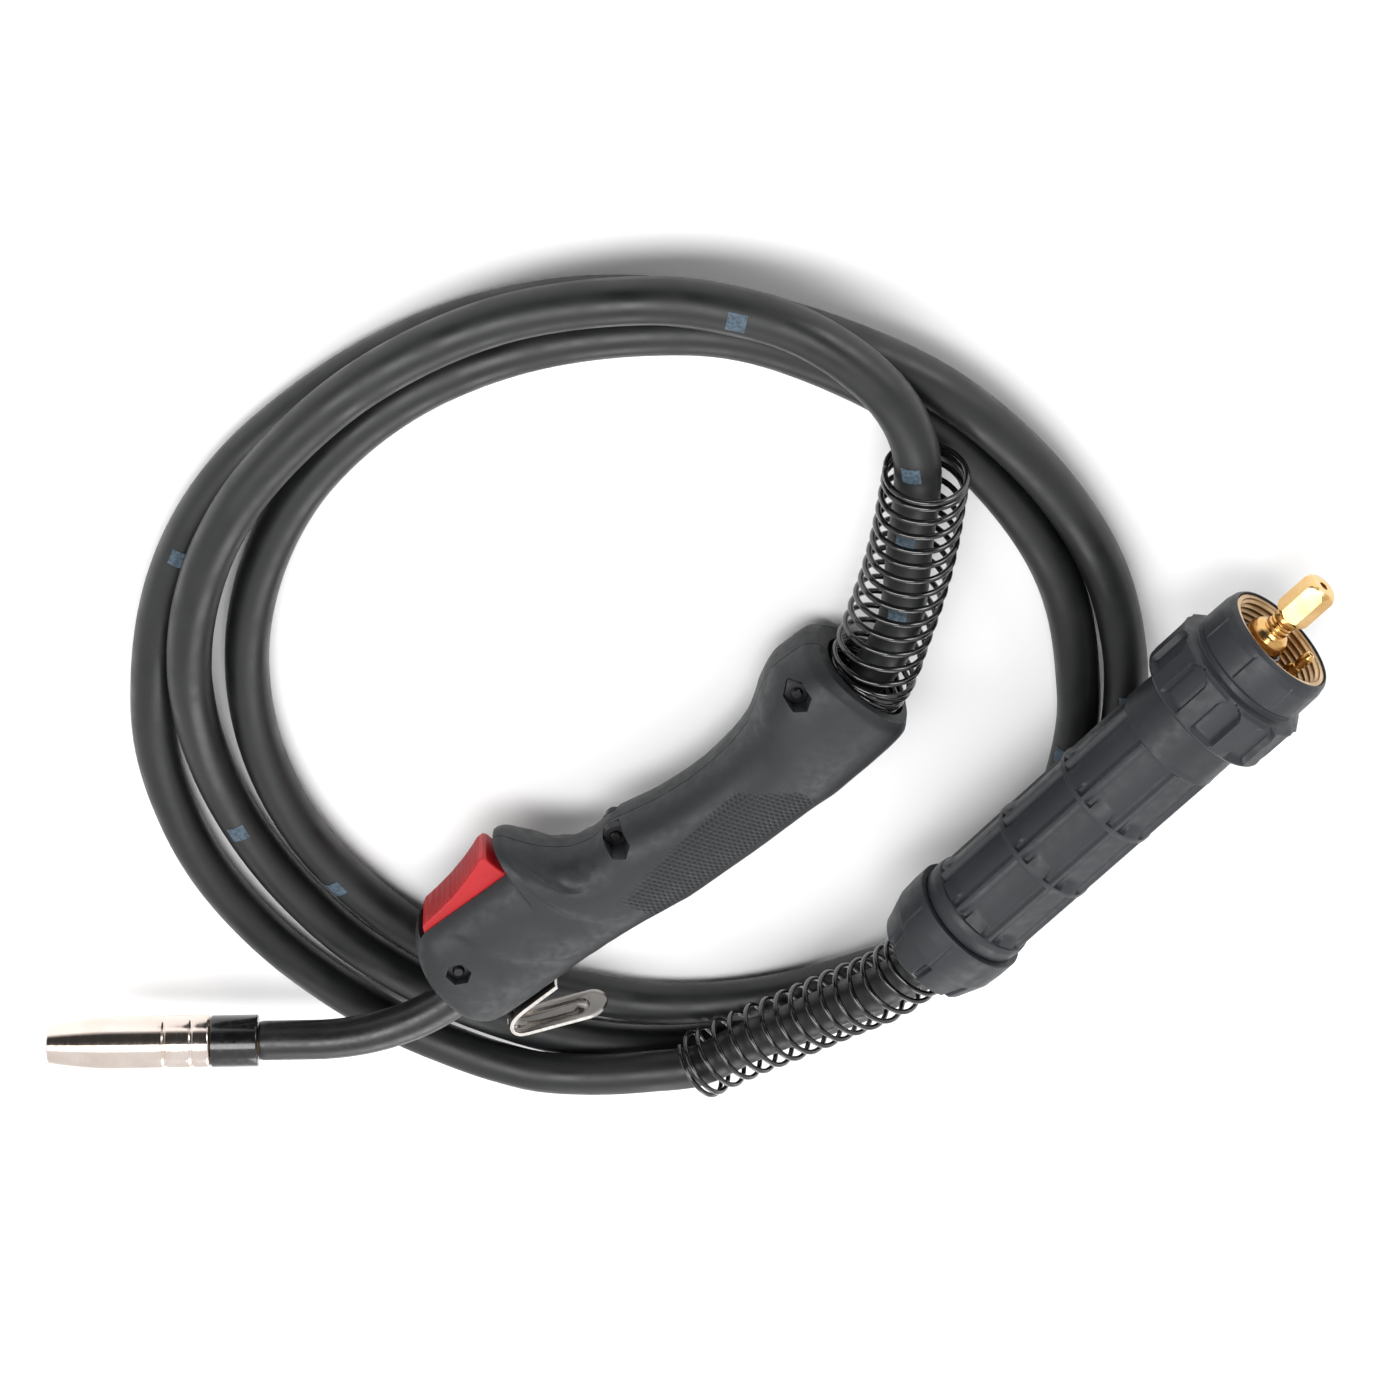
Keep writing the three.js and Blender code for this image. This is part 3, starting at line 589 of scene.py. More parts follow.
ROUTE_STEP = 4
ROUTE = catmull(HANDLE_LEAD + coil_points() + CONNECTOR_LEAD, ROUTE_STEP)
cable = wire_curve("supply_cable", ROUTE, CABLE_R, "rubber", fineness=7)
settle(cable, ("cable_coil", "cable_lead_handle", "cable_lead_connector"))

# generic ink squares printed along the sheath: metres along it, way round it in degrees
PRINTS = [
    (0.03, -20), (0.06, -20), (0.09, -20), (0.165, 0), (0.47, 0), (0.852, -40), (1.361, 20), (1.7, 0), (2.1, 0),
]
PRINT_LENGTH = 5.5
PRINT_SPREAD = 24
PRINT_LIFT = 0.06
PRINT_THICK = 0.05
PRINT_GRID = (4, 8)


def cable_prints():
    bm = bmesh.new()
    lengths, rounds = PRINT_GRID
    for metres, roll in PRINTS:
        start = round(metres * 1000 / ROUTE_STEP)
        centre, ahead = ROUTE[start], ROUTE[start + 1]
        along = (ahead - centre).normalized()
        side = Vector((along.y, -along.x, 0)).normalized()
        up = side.cross(along).normalized()
        up = up if up.z > 0 else -up
        rows = []
        for i in range(lengths + 1):
            row = []
            for k in range(rounds + 1):
                a = math.radians(roll + PRINT_SPREAD * (2 * k / rounds - 1))
                out = (up * math.cos(a) + side * math.sin(a)) * (CABLE_R + PRINT_LIFT)
                row.append(bm.verts.new(centre + along * PRINT_LENGTH * (i / lengths - 0.5) + out))
            rows.append(row)
        for a, b in zip(rows, rows[1:]):
            for k in range(rounds):
                bm.faces.new((a[k], a[k + 1], b[k + 1], b[k]))
    bmesh.ops.solidify(bm, geom=bm.faces[:], thickness=PRINT_THICK)
    return mesh_of(bm)


prints = place("cable_prints", cable_prints(), IN_PLAN, "ink")


# ---- wire bend guards ----
POINTS_PER_TURN = 40


def winding(axis, radius, turns):
    """Points of a wire wound round an axis line; radius and turns are functions of the way along."""
    line = catmull(axis, 1.5)
    total = len(line) - 1
    points = []
    count = int(turns(1) * POINTS_PER_TURN)
    for i in range(count + 1):
        t = find_way(turns, turns(1) * i / count)
        f = t * total
        k = min(int(f), total - 1)
        at = line[k].lerp(line[k + 1], f - k)
        along = (line[min(k + 2, total)] - line[max(k - 1, 0)]).normalized()
        side = Vector((-along.y, along.x, 0)).normalized()
        up = along.cross(side)
        a = TAU * turns(1) * i / count
        points.append(at + side * radius(t) * math.cos(a) + up * radius(t) * math.sin(a))
    return points


def find_way(turns, value):
    """The way along, from 0 to 1, at which this many turns are wound."""
    low, high = 0.0, 1.0
    for _ in range(30):
        mid = (low + high) / 2
        if turns(mid) < value:
            low = mid
        else:
            high = mid
    return (low + high) / 2


HANDLE_GUARD = [
    (49, 16, 20.5), (52.2, 19.9, 20.2), (54.9, 24.2, 20.1), (58, 36.3, 20.8), (63.2, 58.8, 22.2), (65.6, 75.2, 24),
    (67, 91.7, 26.4), (67.7, 101.9, 28.2),
]
CONNECTOR_GUARD = CONNECTOR_LEAD[:6] + [(75.3, -74.1, 40)]


def close_ended(start, stop, first, middle, last):
    """Turns wound by each way along: close turns up to start and beyond stop, open ones between."""
    def turns(t):
        if t < start:
            return first * t / start
        if t < stop:
            return first + middle * (t - start) / (stop - start)
        return first + middle + last * (t - stop) / (1 - stop)
    return turns


def guard(name, axis, radius, turns, wire_radius, node):
    piece = wire_curve(name, winding(axis, radius, turns), wire_radius, "wire")
    return settle(piece, [node])


guard("handle_guard_wire", HANDLE_GUARD, lambda t: 13.4 - 1.5 * t, close_ended(0.13, 0.955, 5.6, 12.6, 1.8), 0.9,
      "handle_cable_spring")
connector_guard = guard("connector_guard_wire", CONNECTOR_GUARD, lambda t: 11,
                        close_ended(0.035, 0.9, 1.4, 13.1, 2.5), 0.85, "connector_spring")

# ---- handle shells ----
# stations along the handle: lower edge x, y; upper edge x, y; half thickness
GRIP = [
    (1.2, -2.5, 1.4, 14, 10), (2, -6.2, 2.8, 19.4, 12.4), (3.6, -9.4, 5.2, 24.6, 13.8),
    (6.6, -12, 9, 29.4, 14.6), (12, -12.9, 15.8, 32.7, 15), (28, -13.2, 32.4, 32.2, 15.2),
    (46.2, -13.5, 51.4, 31.6, 15.3), (47.2, -13.6, 52.2, 35.8, 15.3), (48.4, -13.7, 53.2, 39.6, 15.3),
    (50.4, -13.8, 54.9, 38.8, 15.3), (53.4, -13.9, 57.4, 34.2, 15.3), (56.6, -14.1, 60, 29.2, 15.2),
    (61, -14.3, 64, 23.8, 15), (67.8, -14.9, 70, 19.4, 14.8), (75, -16, 77, 17.8, 14.6),
    (81, -17, 83.4, 19, 14.6), (87, -17.8, 89.4, 17.6, 14.6),
    (100.7, -18, 103, 14.6, 14.7), (114.5, -18.2, 116.6, 13.6, 15), (128.2, -17.9, 130, 14.8, 15.8),
    (139, -17.6, 140, 17.2, 17), (146, -17.6, 145.6, 20.2, 18.4), (152.4, -17, 151.8, 24.2, 19.6),
    (163, -16.2, 161.5, 27.6, 20.3), (176.8, -14.2, 171.3, 27.2, 20.2), (180, -11.5, 175, 24.2, 18.4),
]
HOLLOW = [
    (23.4, -11, 26.4, 17.6, 12.2), (30, -11.2, 33, 27, 12.6), (50, -11.4, 54, 26, 12.6), (57, -11.8, 60, 19.6, 12.4),
    (70, -12.6, 72, 16, 12.1), (100, -15.4, 102, 12, 12.1), (128, -15.4, 130, 12, 13), (146, -14.6, 146, 17, 15.4),
    (156, -13.4, 155, 20, 16.6),
]
SHOULDER = 2.6  # how square a station's outline is; 2 would be an ellipse
BELLY = 22.8  # from a station's lower edge to its widest place, where that is short of the middle
SEAM = 0.15
FAR = 30  # a cutter that goes this far passes right through
BOSS_R = 4.3
SWITCH_POST = (37, 12)
HOOK_SCREW_X = 20
# creases on the flank: line, depth, how far the step fades, and which side of the line is sunk
CREASES = [
    ([(55, 38), (57.4, 34), (58.8, 28.5), (60.4, 20.5), (62.6, 15.2), (67, 11.6), (75, 10)], 1.3, 14, 1),
    ([(54.2, 31), (54, 24.4), (54.6, 18.9), (55.8, 12.8), (59, 5.3), (65.9, -4), (76, -9)], 0.9, 10, -1),
    ([(20, 30), (25, 24.3), (28.3, 15.5), (32.2, 7.5), (37.6, 1.1), (44.2, -5.3), (54, -10)], 0.8, 12, -1),
]
CREASE_REACH = 25
DIMPLE = (69.6, 16.9)
KNURL = [(71, 1), (86, 4.6), (100, 6.4), (127, 8.6), (143, -4), (143, -12), (74, -14)]


def monotone(xs, ys, at):
    """Smooth values through the points that never swing past them."""
    xs, ys = np.array(xs, float), np.array(ys, float)
    h = np.diff(xs)
    slope = np.diff(ys) / h
    m = np.zeros(len(xs))
    for i in range(1, len(xs) - 1):
        if slope[i - 1] * slope[i] > 0:
            a, b = 2 * h[i] + h[i - 1], h[i] + 2 * h[i - 1]
            m[i] = (a + b) / (a / slope[i - 1] + b / slope[i])
    m[0], m[-1] = slope[0], slope[-1]
    k = np.clip(np.searchsorted(xs, at, side="right") - 1, 0, len(h) - 1)
    t = (at - xs[k]) / h[k]
    return (
        (1 + 2 * t) * (1 - t) ** 2 * ys[k] + t * (1 - t) ** 2 * h[k] * m[k]
        + t * t * (3 - 2 * t) * ys[k + 1] + t * t * (t - 1) * h[k] * m[k + 1]
    )


def within(value):
    return min(1, max(0, value))


def step_up(low, high, value):
    """A smooth step from 0 at low to 1 at high."""
    t = within((value - low) / (high - low))
    return t * t * (3 - 2 * t)


def beside(line, x, y):
    """Signed distance to a line of points, and the way along it from 0 to 1."""
    best = (1e9, 0, 0)
    for i, ((ax, ay), (bx, by)) in enumerate(zip(line, line[1:])):
        dx, dy = bx - ax, by - ay
        t = within(((x - ax) * dx + (y - ay) * dy) / (dx * dx + dy * dy))
        px, py = x - ax - t * dx, y - ay - t * dy
        gap = math.hypot(px, py)
        if gap < best[0]:
            best = (gap, dx * py - dy * px, (i + t) / (len(line) - 1))
    return math.copysign(best[0], best[1]), best[2]


def in_plane(points):
    return [(x, y, 0) for x, y in points]


CREASE_LINES = [([tuple(p[:2]) for p in catmull(in_plane(line), 1.5)], *rest) for line, *rest in CREASES]


def sunk(x, y):
    """How far the flank is sunk below the plain loft."""
    depth = 0
    for line, amount, fade, side in CREASE_LINES:
        if not line[0][0] - CREASE_REACH < x < line[-1][0] + CREASE_REACH:
            continue
        gap, way = beside(line, x, y)
        gap *= side
        ends = step_up(0, 0.2, way) * step_up(0, 0.35, 1 - way)
        depth += amount * ends * (step_up(-0.9, 0.7, gap) - step_up(0.7, fade, gap))
    round_dimple = math.hypot(x - DIMPLE[0], y - DIMPLE[1])
    return depth + 0.7 * math.exp(-(round_dimple / 2.3) ** 2) - 0.35 * math.exp(-((round_dimple - 5) / 2) ** 2)


def inside(outline, x, y):
    """How far inside an outline a point is, from 0 at its edge to 1."""
    gap = beside(outline + outline[:1], x, y)[0]
    crossings = 0
    for (ax, ay), (bx, by) in zip(outline, outline[1:] + outline[:1]):
        if (ay > y) != (by > y) and x < ax + (y - ay) * (bx - ax) / (by - ay):
            crossings += 1
    return step_up(0, 2.5, abs(gap)) if crossings % 2 else 0


def loft_rings(stations, around, step, flank=False):
    """Rings of points through the stations, on a squarish oval that is widest near its lower edge."""
    stations = np.array(stations)
    edge = stations[:, 2:4]
    middle = (stations[:, 0:2] + edge) / 2
    gaps = sum(0.5 * np.linalg.norm(np.diff(line, axis=0), axis=1) for line in (middle, edge))
    along = np.concatenate([[0], np.cumsum(gaps)])
    at = np.linspace(0, along[-1], int(along[-1] / step) + 1)
    columns = [monotone(along, stations[:, k], at) for k in range(5)]
    rings = []
    for x0, y0, x1, y1, half in zip(*columns):
        low = min(0.5, BELLY / math.hypot(x1 - x0, y1 - y0))
        ring = []
        for i in range(around):
            a = TAU * (i + 0.5) / around
            c = math.copysign(abs(math.cos(a)) ** (2 / SHOULDER), math.cos(a))
            s = math.copysign(abs(math.sin(a)) ** (2 / SHOULDER), math.sin(a))
            way = low * (1 + c) if c < 0 else low + (1 - low) * c
            x, y = x0 + (x1 - x0) * way, y0 + (y1 - y0) * way
            z = half * s
            if flank:
                z -= math.copysign(min(1, abs(s) * 1.4) * sunk(x, y), z)
            ring.append((x, y, z))
        rings.append(ring)
    return rings


def rear_cylinder(s0, s1, r):
    mesh = turned(bar(s0, s1, r), 96, corner=0)
    return moved(mesh, turn(REAR["turn"], "Z"), Matrix.Translation((REAR["x"], REAR["y"], 0)))


def handle_body():
    """Both shells in one: the loft, less its hollow with its bosses, its openings and its screws' pockets."""
    bosses = [along_z(-FAR, FAR, BOSS_R, *screw[:2]) for screw in SCREWS]
    bosses += [along_z(5.3, FAR, 3, *SWITCH_POST), along_z(-FAR, -5.3, 3, *SWITCH_POST)]
    hollow = combined(grid_mesh(loft_rings(HOLLOW, 40, 4)), bosses)
    side = (NECK_AT[1], 0)
    window = block(12.6, 51.6, 19, 60, -7.5, 7.5)
    neck_bore = turned(bar(-20, 9, 6.8), 64, side, 0)
    neck_nut_pocket = turned(bar(7.6, 28, hex_r(15.6)), 6, side, 0)
    hinge_bore = along_z(-10.6, 10.6, 1.8, *HINGE, 24)
    hook_screw_bore = along_y(-FAR, -7, 1.85, HOOK_SCREW_X, 0, 24)
    guard_socket = rear_cylinder(-13, 20, 15.3)
    cable_bore = rear_cylinder(-40, -12, 8.2)
    cuts = [hollow, window, neck_bore, neck_nut_pocket, hinge_bore, hook_screw_bore, guard_socket, cable_bore]
    for x, y, seat, nut_seat in SCREWS:
        cuts += [
            along_z(-FAR, FAR, 2.15, x, y, 32),
            along_z(-FAR, seat, 3.4, x, y, 48),
            along_z(nut_seat, FAR, hex_r(7.4), x, y, 6, NUT_PHASE),
        ]
    return combined(grid_mesh(loft_rings(GRIP, 120, 0.85, flank=True)), cuts)


def add_knurl(mesh):
    """Marks both flanks, where the grip's material raises its knurl."""
    mask = mesh.attributes.new("knurl", "FLOAT", "POINT")
    for vertex, entry in zip(mesh.vertices, mask.data):
        x, y, z = vertex.co
        entry.value = inside(KNURL, x, y) if abs(z) > 5 else 0


def shells():
    body = handle_body()
    for name, low, high in (("upper", SEAM, 60), ("lower", -60, -SEAM)):
        half = combined(body.copy(), [block(-50, 250, -100, 100, low, high)], "INTERSECT")
        add_knurl(half)
        place(f"grip_{name}", half, IN_HANDLE, "grip", f"handle_shell_{name}", bevel=0.35)


shells()


def threaded(z0, z1, radius, x, y, pitch=0.7, taper=0.4, depth=0.24):
    """A screw end standing along Z with its thread turned as fine rings."""
    profile = [(z0, 0), (z0, radius)]
    z = z0
    while z < z1 - taper - pitch:
        profile += [(z + 0.35 * pitch, radius), (z + 0.7 * pitch, radius - depth), (z + pitch, radius)]
        z += pitch
    profile += [(z1 - taper, radius), (z1, radius - taper), (z1, 0)]
    return upright(turned(profile, 32, corner=0), x, y)


def shell_fasteners():
    for name, (x, y, seat, nut_seat) in zip(("front", "middle", "rear"), SCREWS):
        shank = threaded(seat - 1, nut_seat + 4.4, 1.8, x, y)
        head = [(seat - 2.9, 0), (seat - 2.9, 2.5), (seat - 2.4, 3), (seat - 0.3, 3), (seat - 0.3, 0)]
        head = upright(turned(head, 48), x, y)
        socket = along_z(seat - 4, seat - 1.6, hex_r(3), x, y, 6)
        screw = combined(combined(shank, [head], "UNION"), [socket])
        place(f"clamp_screw_{name}", screw, IN_HANDLE, "dark_steel", f"shell_screw_{name}")
        z0, z1 = nut_seat + 0.3, nut_seat + 3.4
        hexagon = along_z(z0, z1, hex_r(7), x, y, 6, NUT_PHASE)
        chamfer = [(z0, 0), (z0, 3.6), (z0 + 0.5, 4.1), (z1 - 0.5, 4.1), (z1, 3.5), (z1, 0)]
        chamfer = upright(turned(chamfer, 48, corner=0), x, y)
        nut = combined(combined(hexagon, [chamfer], "INTERSECT"), [along_z(-FAR, FAR, 1.95, x, y, 32)])
        place(f"clamp_nut_{name}", nut, IN_HANDLE, "dark_steel", f"shell_nut_{name}")


shell_fasteners()

# ---- trigger ----
TRIGGER = [
    (13.5, 21.4), (14.2, 30.4), (15.6, 32.6), (17.6, 33.6), (24, 34.2), (31, 35.2), (38, 36.8), (43, 38.3),
    (46.6, 39.6), (48.6, 39.5), (49.3, 38.4), (49.4, 34), (49.7, 30), (49.3, 26), (47.4, 22.4), (45, 21.4),
]
# its rounded edges: distance from the middle plane, and how far its outline draws in there
TRIGGER_EDGE = [(7, 0.75), (6.9, 0.42), (6.65, 0.16), (6.3, 0)]
RIB_PITCH = 0.85
RIB_HEIGHT = 0.34
RIB_SUNK = 0.1


def trigger_mesh():
    line = resample(in_plane(TRIGGER + TRIGGER[:1]), 0.2)[:-1]
    count = len(line)
    rings = []
    for z, inset in [(-z, inset) for z, inset in TRIGGER_EDGE] + [(0, 0)] + TRIGGER_EDGE[::-1]:
        ring = []
        for i, p in enumerate(line):
            along = (line[(i + 3) % count] - line[i - 3]).normalized()
            out = Vector((-along.y, along.x, 0))
            on_top = p.y > 31.5 and out.y > 0.5
            ribbed = step_up(16.5, 18, p.x) * step_up(0, 1.5, 47.5 - p.x) if on_top else 0
            rib = RIB_HEIGHT * math.cos(TAU * p.x / RIB_PITCH) - RIB_SUNK
            level = rib * ribbed * (1 if inset == 0 else 0.4) - inset
            ring.append((p.x + out.x * level, p.y + out.y * level, z))
        rings.append(ring)
    mesh = grid_mesh(rings)
    return combined(mesh, [along_z(-10, 10, 1.8, *HINGE, 32)])


place("trigger_lever", trigger_mesh(), IN_HANDLE, "red", "trigger", "trigger", smooth=50)


# ---- belt hook: a bent strip with a pressed oval bead ----
HOOK = [
    (29, -14.8), (20, -14.8), (12, -15), (8.6, -15.8), (6.4, -17.4), (5.6, -19.4), (6.2, -21.4), (8, -22.8),
    (10.2, -23.9), (21, -28.9), (33.5, -34.7),
]
HOOK_HALF = 6.5
HOOK_THICK = 1.2
HOOK_STEP = 0.35
# the bead: where its oval starts and stops before the tip, how far it lies off the oval's line, its depth and width
BEAD_START, BEAD_STOP = 33, 10
BEAD_OFF, BEAD_DEEP, BEAD_WIDE = 3.1, 0.75, 0.85


def hook_mesh():
    line = resample(catmull(in_plane(HOOK), 0.3), HOOK_STEP)
    count = len(line)
    length = HOOK_STEP * (count - 1)
    across = 26
    layers = []
    for level in (1, -1):
        rows = []
        for i, p in enumerate(line):
            along = (line[min(i + 1, count - 1)] - line[max(i - 1, 0)]).normalized()
            out = Vector((-along.y, along.x, 0))
            to_end = length - HOOK_STEP * i
            half = HOOK_HALF
            if to_end <= HOOK_HALF:
                half *= math.sqrt(max(0.02, 1 - (1 - to_end / HOOK_HALF) ** 2))
            row = []
            for k in range(across + 1):
                z = half * (2 * k / across - 1)
                from_oval = math.hypot(to_end - min(max(to_end, BEAD_STOP), BEAD_START), z)
                bead = BEAD_DEEP * math.exp(-((from_oval - BEAD_OFF) / BEAD_WIDE) ** 2)
                rolled_edge = 0.35 * math.exp(-((half - abs(z)) / 0.7) ** 2)
                dot = 0.5 * math.exp(-(math.hypot(to_end - BEAD_STOP, z) / 1.3) ** 2)
                row.append(p + out * (level * HOOK_THICK / 2 - bead + rolled_edge + dot) + Vector((0, 0, z)))
            rows.append(row)
        layers.append(rows)
    return grid_mesh([top + under[::-1] for top, under in zip(*layers)])


def cross_headed(profile, x, floor, reach, half):
    """A screw towards -Y at a place along X, with a cross cut into its head down to a floor."""
    screw = moved(turned(profile, 48), turn(-90, "Z"), Matrix.Translation((x, 0, 0)))
    slots = [
        block(x - reach, x + reach, -19, floor, -half, half), block(x - half, x + half, -19, floor, -reach, reach),
    ]
    return combined(screw, slots)


def hook_parts():
    hook = combined(hook_mesh(), [along_y(-17, -12, 1.85, HOOK_SCREW_X, 0, 32)])
    place("belt_hook", hook, IN_HANDLE, "steel", "hanging_hook", smooth=50)
    profile = [(8, 0), (8, 1.5), (15.7, 1.5), (15.7, 3.2), (16.8, 3.1), (17.4, 2.2), (17.4, 0)]
    screw = cross_headed(profile, HOOK_SCREW_X, -16.7, 3, 0.45)
    place("hook_fixing", screw, IN_HANDLE, "dark_steel", "hook_screw")


hook_parts()


# ---- neck and front end ----
def neck_sleeve():
    inner, outer, rounding = 4.95, 6.5, 0.35
    steps, sides = 60, 48
    line = [neck_point(-4.6 + (NECK_ARC + 22.1) * i / steps) for i in range(steps + 1)]
    rings = []
    for walk, r, way in ((line, outer, 1), (line[::-1], inner, -1)):
        for i, p in enumerate(walk):
            along = (walk[min(i + 1, steps)] - walk[max(i - 1, 0)]).normalized() * way
            side = Vector((-along.y, along.x, 0))
            ring = circle(0, 0, r - rounding if way > 0 and i in (0, steps) else r, sides)
            rings.append([p + side * across + Vector((0, 0, up)) for across, up in ring])
    return grid_mesh(rings, closed=True)


place("neck_sleeve_tube", neck_sleeve(), IN_HANDLE, "satin", "neck_sleeve")
place("insulator_ring", turned(pipe(17.8, 33.2, 4.85, 8.5), 96, corner=0.7), IN_FRONT, "black", "neck_insulator")
NOZZLE = [
    (33.5, 7.6), (33.5, 8.5), (34, 8.8), (38.6, 8.8), (38.9, 8.45), (39.5, 8.45), (39.8, 8.8), (47.4, 8.8),
    (47.7, 8.45), (48.3, 8.45), (48.6, 8.8), (65, 8.8), (68, 8.72), (71, 8.5), (74, 8.24), (77, 7.9), (82, 7.2),
    (85.6, 6.6), (86, 6.4), (86, 5.3), (82, 5.6), (73, 6.8), (62, 7.6), (33.5, 7.6),
]
place("gas_nozzle_cup", turned(NOZZLE, 128, corner=0.2, step=2), IN_FRONT, "nickel", "gas_nozzle", "gas_nozzle",
      smooth=25)
TIP = [(58.3, 0.55), (58.3, 2.6), (58.9, 3), (78, 3), (81, 2.5), (82.6, 2.1), (82.6, 0.55), (58.3, 0.55)]
place("wire_contact_tip", turned(TIP, 48, corner=0.2), IN_FRONT, "copper", "contact_tip")
HOLDER = [(42, 1), (42, 4.6), (43, 5), (57.4, 5), (58, 4.6), (58, 1), (42, 1)]
gas_ports = [moved(along_z(-8, 8, 0.9, 50, 0, 20), turn(45 * i, "X")) for i in range(4)]
place("gas_diffuser", combined(turned(HOLDER, 64, corner=0.2), gas_ports), IN_FRONT, "old_brass", "tip_holder")


# ---- connector ----
RAILS = 8  # rails along the housing, and notches round the bell
TEETH = 10  # round the coupling nut
TUBE_R = 17.5
BAY_STARTS = (32.4, 61, 89.2)
HOUSING_LOW = 16.7
HOUSING_HIGH = 18.1
SEAT_X = 121  # the housing screw's place
# below these radii a body is plain and round
BELL_BORE = 14.2
HOUSING_BORE = 16.2
NUT_BORE = 18


def near_spoke(a, count, phase=0.0):
    """Angle in degrees from the nearest of count evenly spaced spokes."""
    pitch = 360 / count
    d = (math.degrees(a) - phase * pitch) % pitch
    return min(d, pitch - d)


def off_spoke(a, count, radius, phase=0.0):
    """The same as a length round a circle of this radius."""
    return math.radians(near_spoke(a, count, phase)) * radius


def bell_shape(x, r, a):
    """Notches in the bell's small end, each with a fine mould line behind it."""
    if r < BELL_BORE:
        return r
    notch_deep, line_deep, notch_end = 1.7, 0.3, 12.6
    d = off_spoke(a, RAILS, r, 0.5)
    notch = (1 - step_up(0.6, 1.6, d)) * step_up(0, 0.8, notch_end - x)
    line = (1 - step_up(0.1, 0.45, d)) * step_up(12.5, 13.2, x) * step_up(0, 1, 24 - x)
    return r - notch_deep * notch - line_deep * line


def housing_shape(x, r, a):
    """Rails along the tube, a wedge at the start of each bay between them, and a flat seat for the screw."""
    if r < HOUSING_BORE:
        return r
    rail_high, wedge_high, wedge_long, wedge_half, seat_half = 1.4, 1.35, 4, 2.9, 3.9
    out = r
    if 32 < x < 115.8:
        d = off_spoke(a, RAILS, TUBE_R)
        off_middle = abs(math.pi * TUBE_R / RAILS - d - 0.4)
        rail = rail_high * (1 - within((d - 0.5) / 1.3))
        wedge = 0
        for start in BAY_STARTS:
            if x >= start - 0.3:
                wedge = wedge_high * (1 - within((x - start) / wedge_long))
                wedge *= 1 - step_up(wedge_half, wedge_half + 0.5, off_middle)
        out = r + within((HOUSING_HIGH - r) / rail_high) * max(rail, wedge)
    if x > 114:
        wide = abs(math.radians((math.degrees(a) - 90 + 180) % 360 - 180)) * TUBE_R
        from_seat = math.hypot(min(0, x - SEAT_X), wide)
        out -= 1.0 * (1 - step_up(seat_half, seat_half + 0.4, from_seat))
    return out


def nut_shape(x, r, a):
    """Teeth round the nut's rear, with a rounded flute between each two, and fine lines on its collar."""
    x0, x1 = NUT["x0"], NUT["x1"]
    if r < NUT_BORE:
        return r
    if x >= x0 + 17.8:
        away = off_spoke(a, 8, 19.5, 0.2)
        line = (1 - step_up(0.12, 0.4, away)) * step_up(0, 1, x - x0 - 20.4) * step_up(0, 1.5, x1 - 1.8 - x)
        return r - 0.35 * line
    flute_deep, flute_half, flute_end, end_square = 1.9, 4.4, x0 + 12.4, 19.4
    closed = step_up(0.6, 3.4, x - x0)
    flat = 0.983 / math.cos(math.radians(min(near_spoke(a, TEETH), 11) * closed))
    out = r * (flat if r > 22 else 1 + (flat - 1) * step_up(19.3, 22, r))
    away = off_spoke(a, TEETH, 22.5, 0.5)
    room = flute_half if x < flute_end else math.sqrt(max(0, end_square - (x - flute_end) ** 2))
    flute = 1 - step_up(max(0, room - 0.8), room + 0.001, away) if room > 0.1 else 0
    return out - flute_deep * flute * closed * step_up(19.4, 21.5, r)


BELL = [
    (3.4, 12.4), (3.4, 15.2), (4.4, 16.9), (8, 18), (11.5, 19.2), (14, 19.9), (20, 20.3), (25.4, 20.3), (25.4, 14),
    (12, 14), (12, 7.6), (8, 7.6), (8, 12.4), (3.4, 12.4),
]


def housing_profile():
    points = [(18, 12), (18, 13.6), (25.7, 13.6), (25.7, 18.4), (29.8, 18.7), (31.8, 18.4)]
    for start, stop in zip(BAY_STARTS, (58.8, 87, 115.4)):
        points += [(start, HOUSING_LOW), (stop, HOUSING_LOW)]
        if start != BAY_STARTS[-1]:
            points += [(stop + 0.3, HOUSING_HIGH), (stop + 1.9, HOUSING_HIGH)]
    return points + [
        (115.8, 18), (118, 17.8), (129, 17.6), (129.7, 17), (129.8, 16.2), (130.4, 16), (130.4, 14.9), (112, 14.9),
        (110, 15.6), (26, 15.6), (26, 12), (18, 12),
    ]


def nut_profile():
    x0, x1, r = NUT["x0"], NUT["x1"], NUT["r"]
    return [
        (x0, 14.95), (x0, r - 0.8), (x0 + 0.8, r), (x0 + 16.2, r), (x0 + 17.4, r - 1.1), (x0 + 18.2, 19.4),
        (x0 + 20, 19.3), (x0 + 20.6, 19.8), (x1 - 4, 19.6), (x1 - 1.2, 19), (x1, 18.1), (x1, 17.7), (x0 + 3.5, 17.7),
        (x0 + 3.5, 14.95), (x0, 14.95),
    ]


def thread_ring_profile():
    start, stop = NUT["x0"] + 8, NUT["x1"] - 0.5
    crest, root, pitch = 15.2, 15.95, 2
    points = [(start, 15.3), (start, 17.4), (stop, 17.4), (stop, 16.1)]
    x = stop - 0.7
    while x > start + 2.2:
        points += [(x, root), (x - 0.6, crest), (x - 1, crest), (x - 1.6, root)]
        x -= pitch
    return points + [(start, 15.3)]


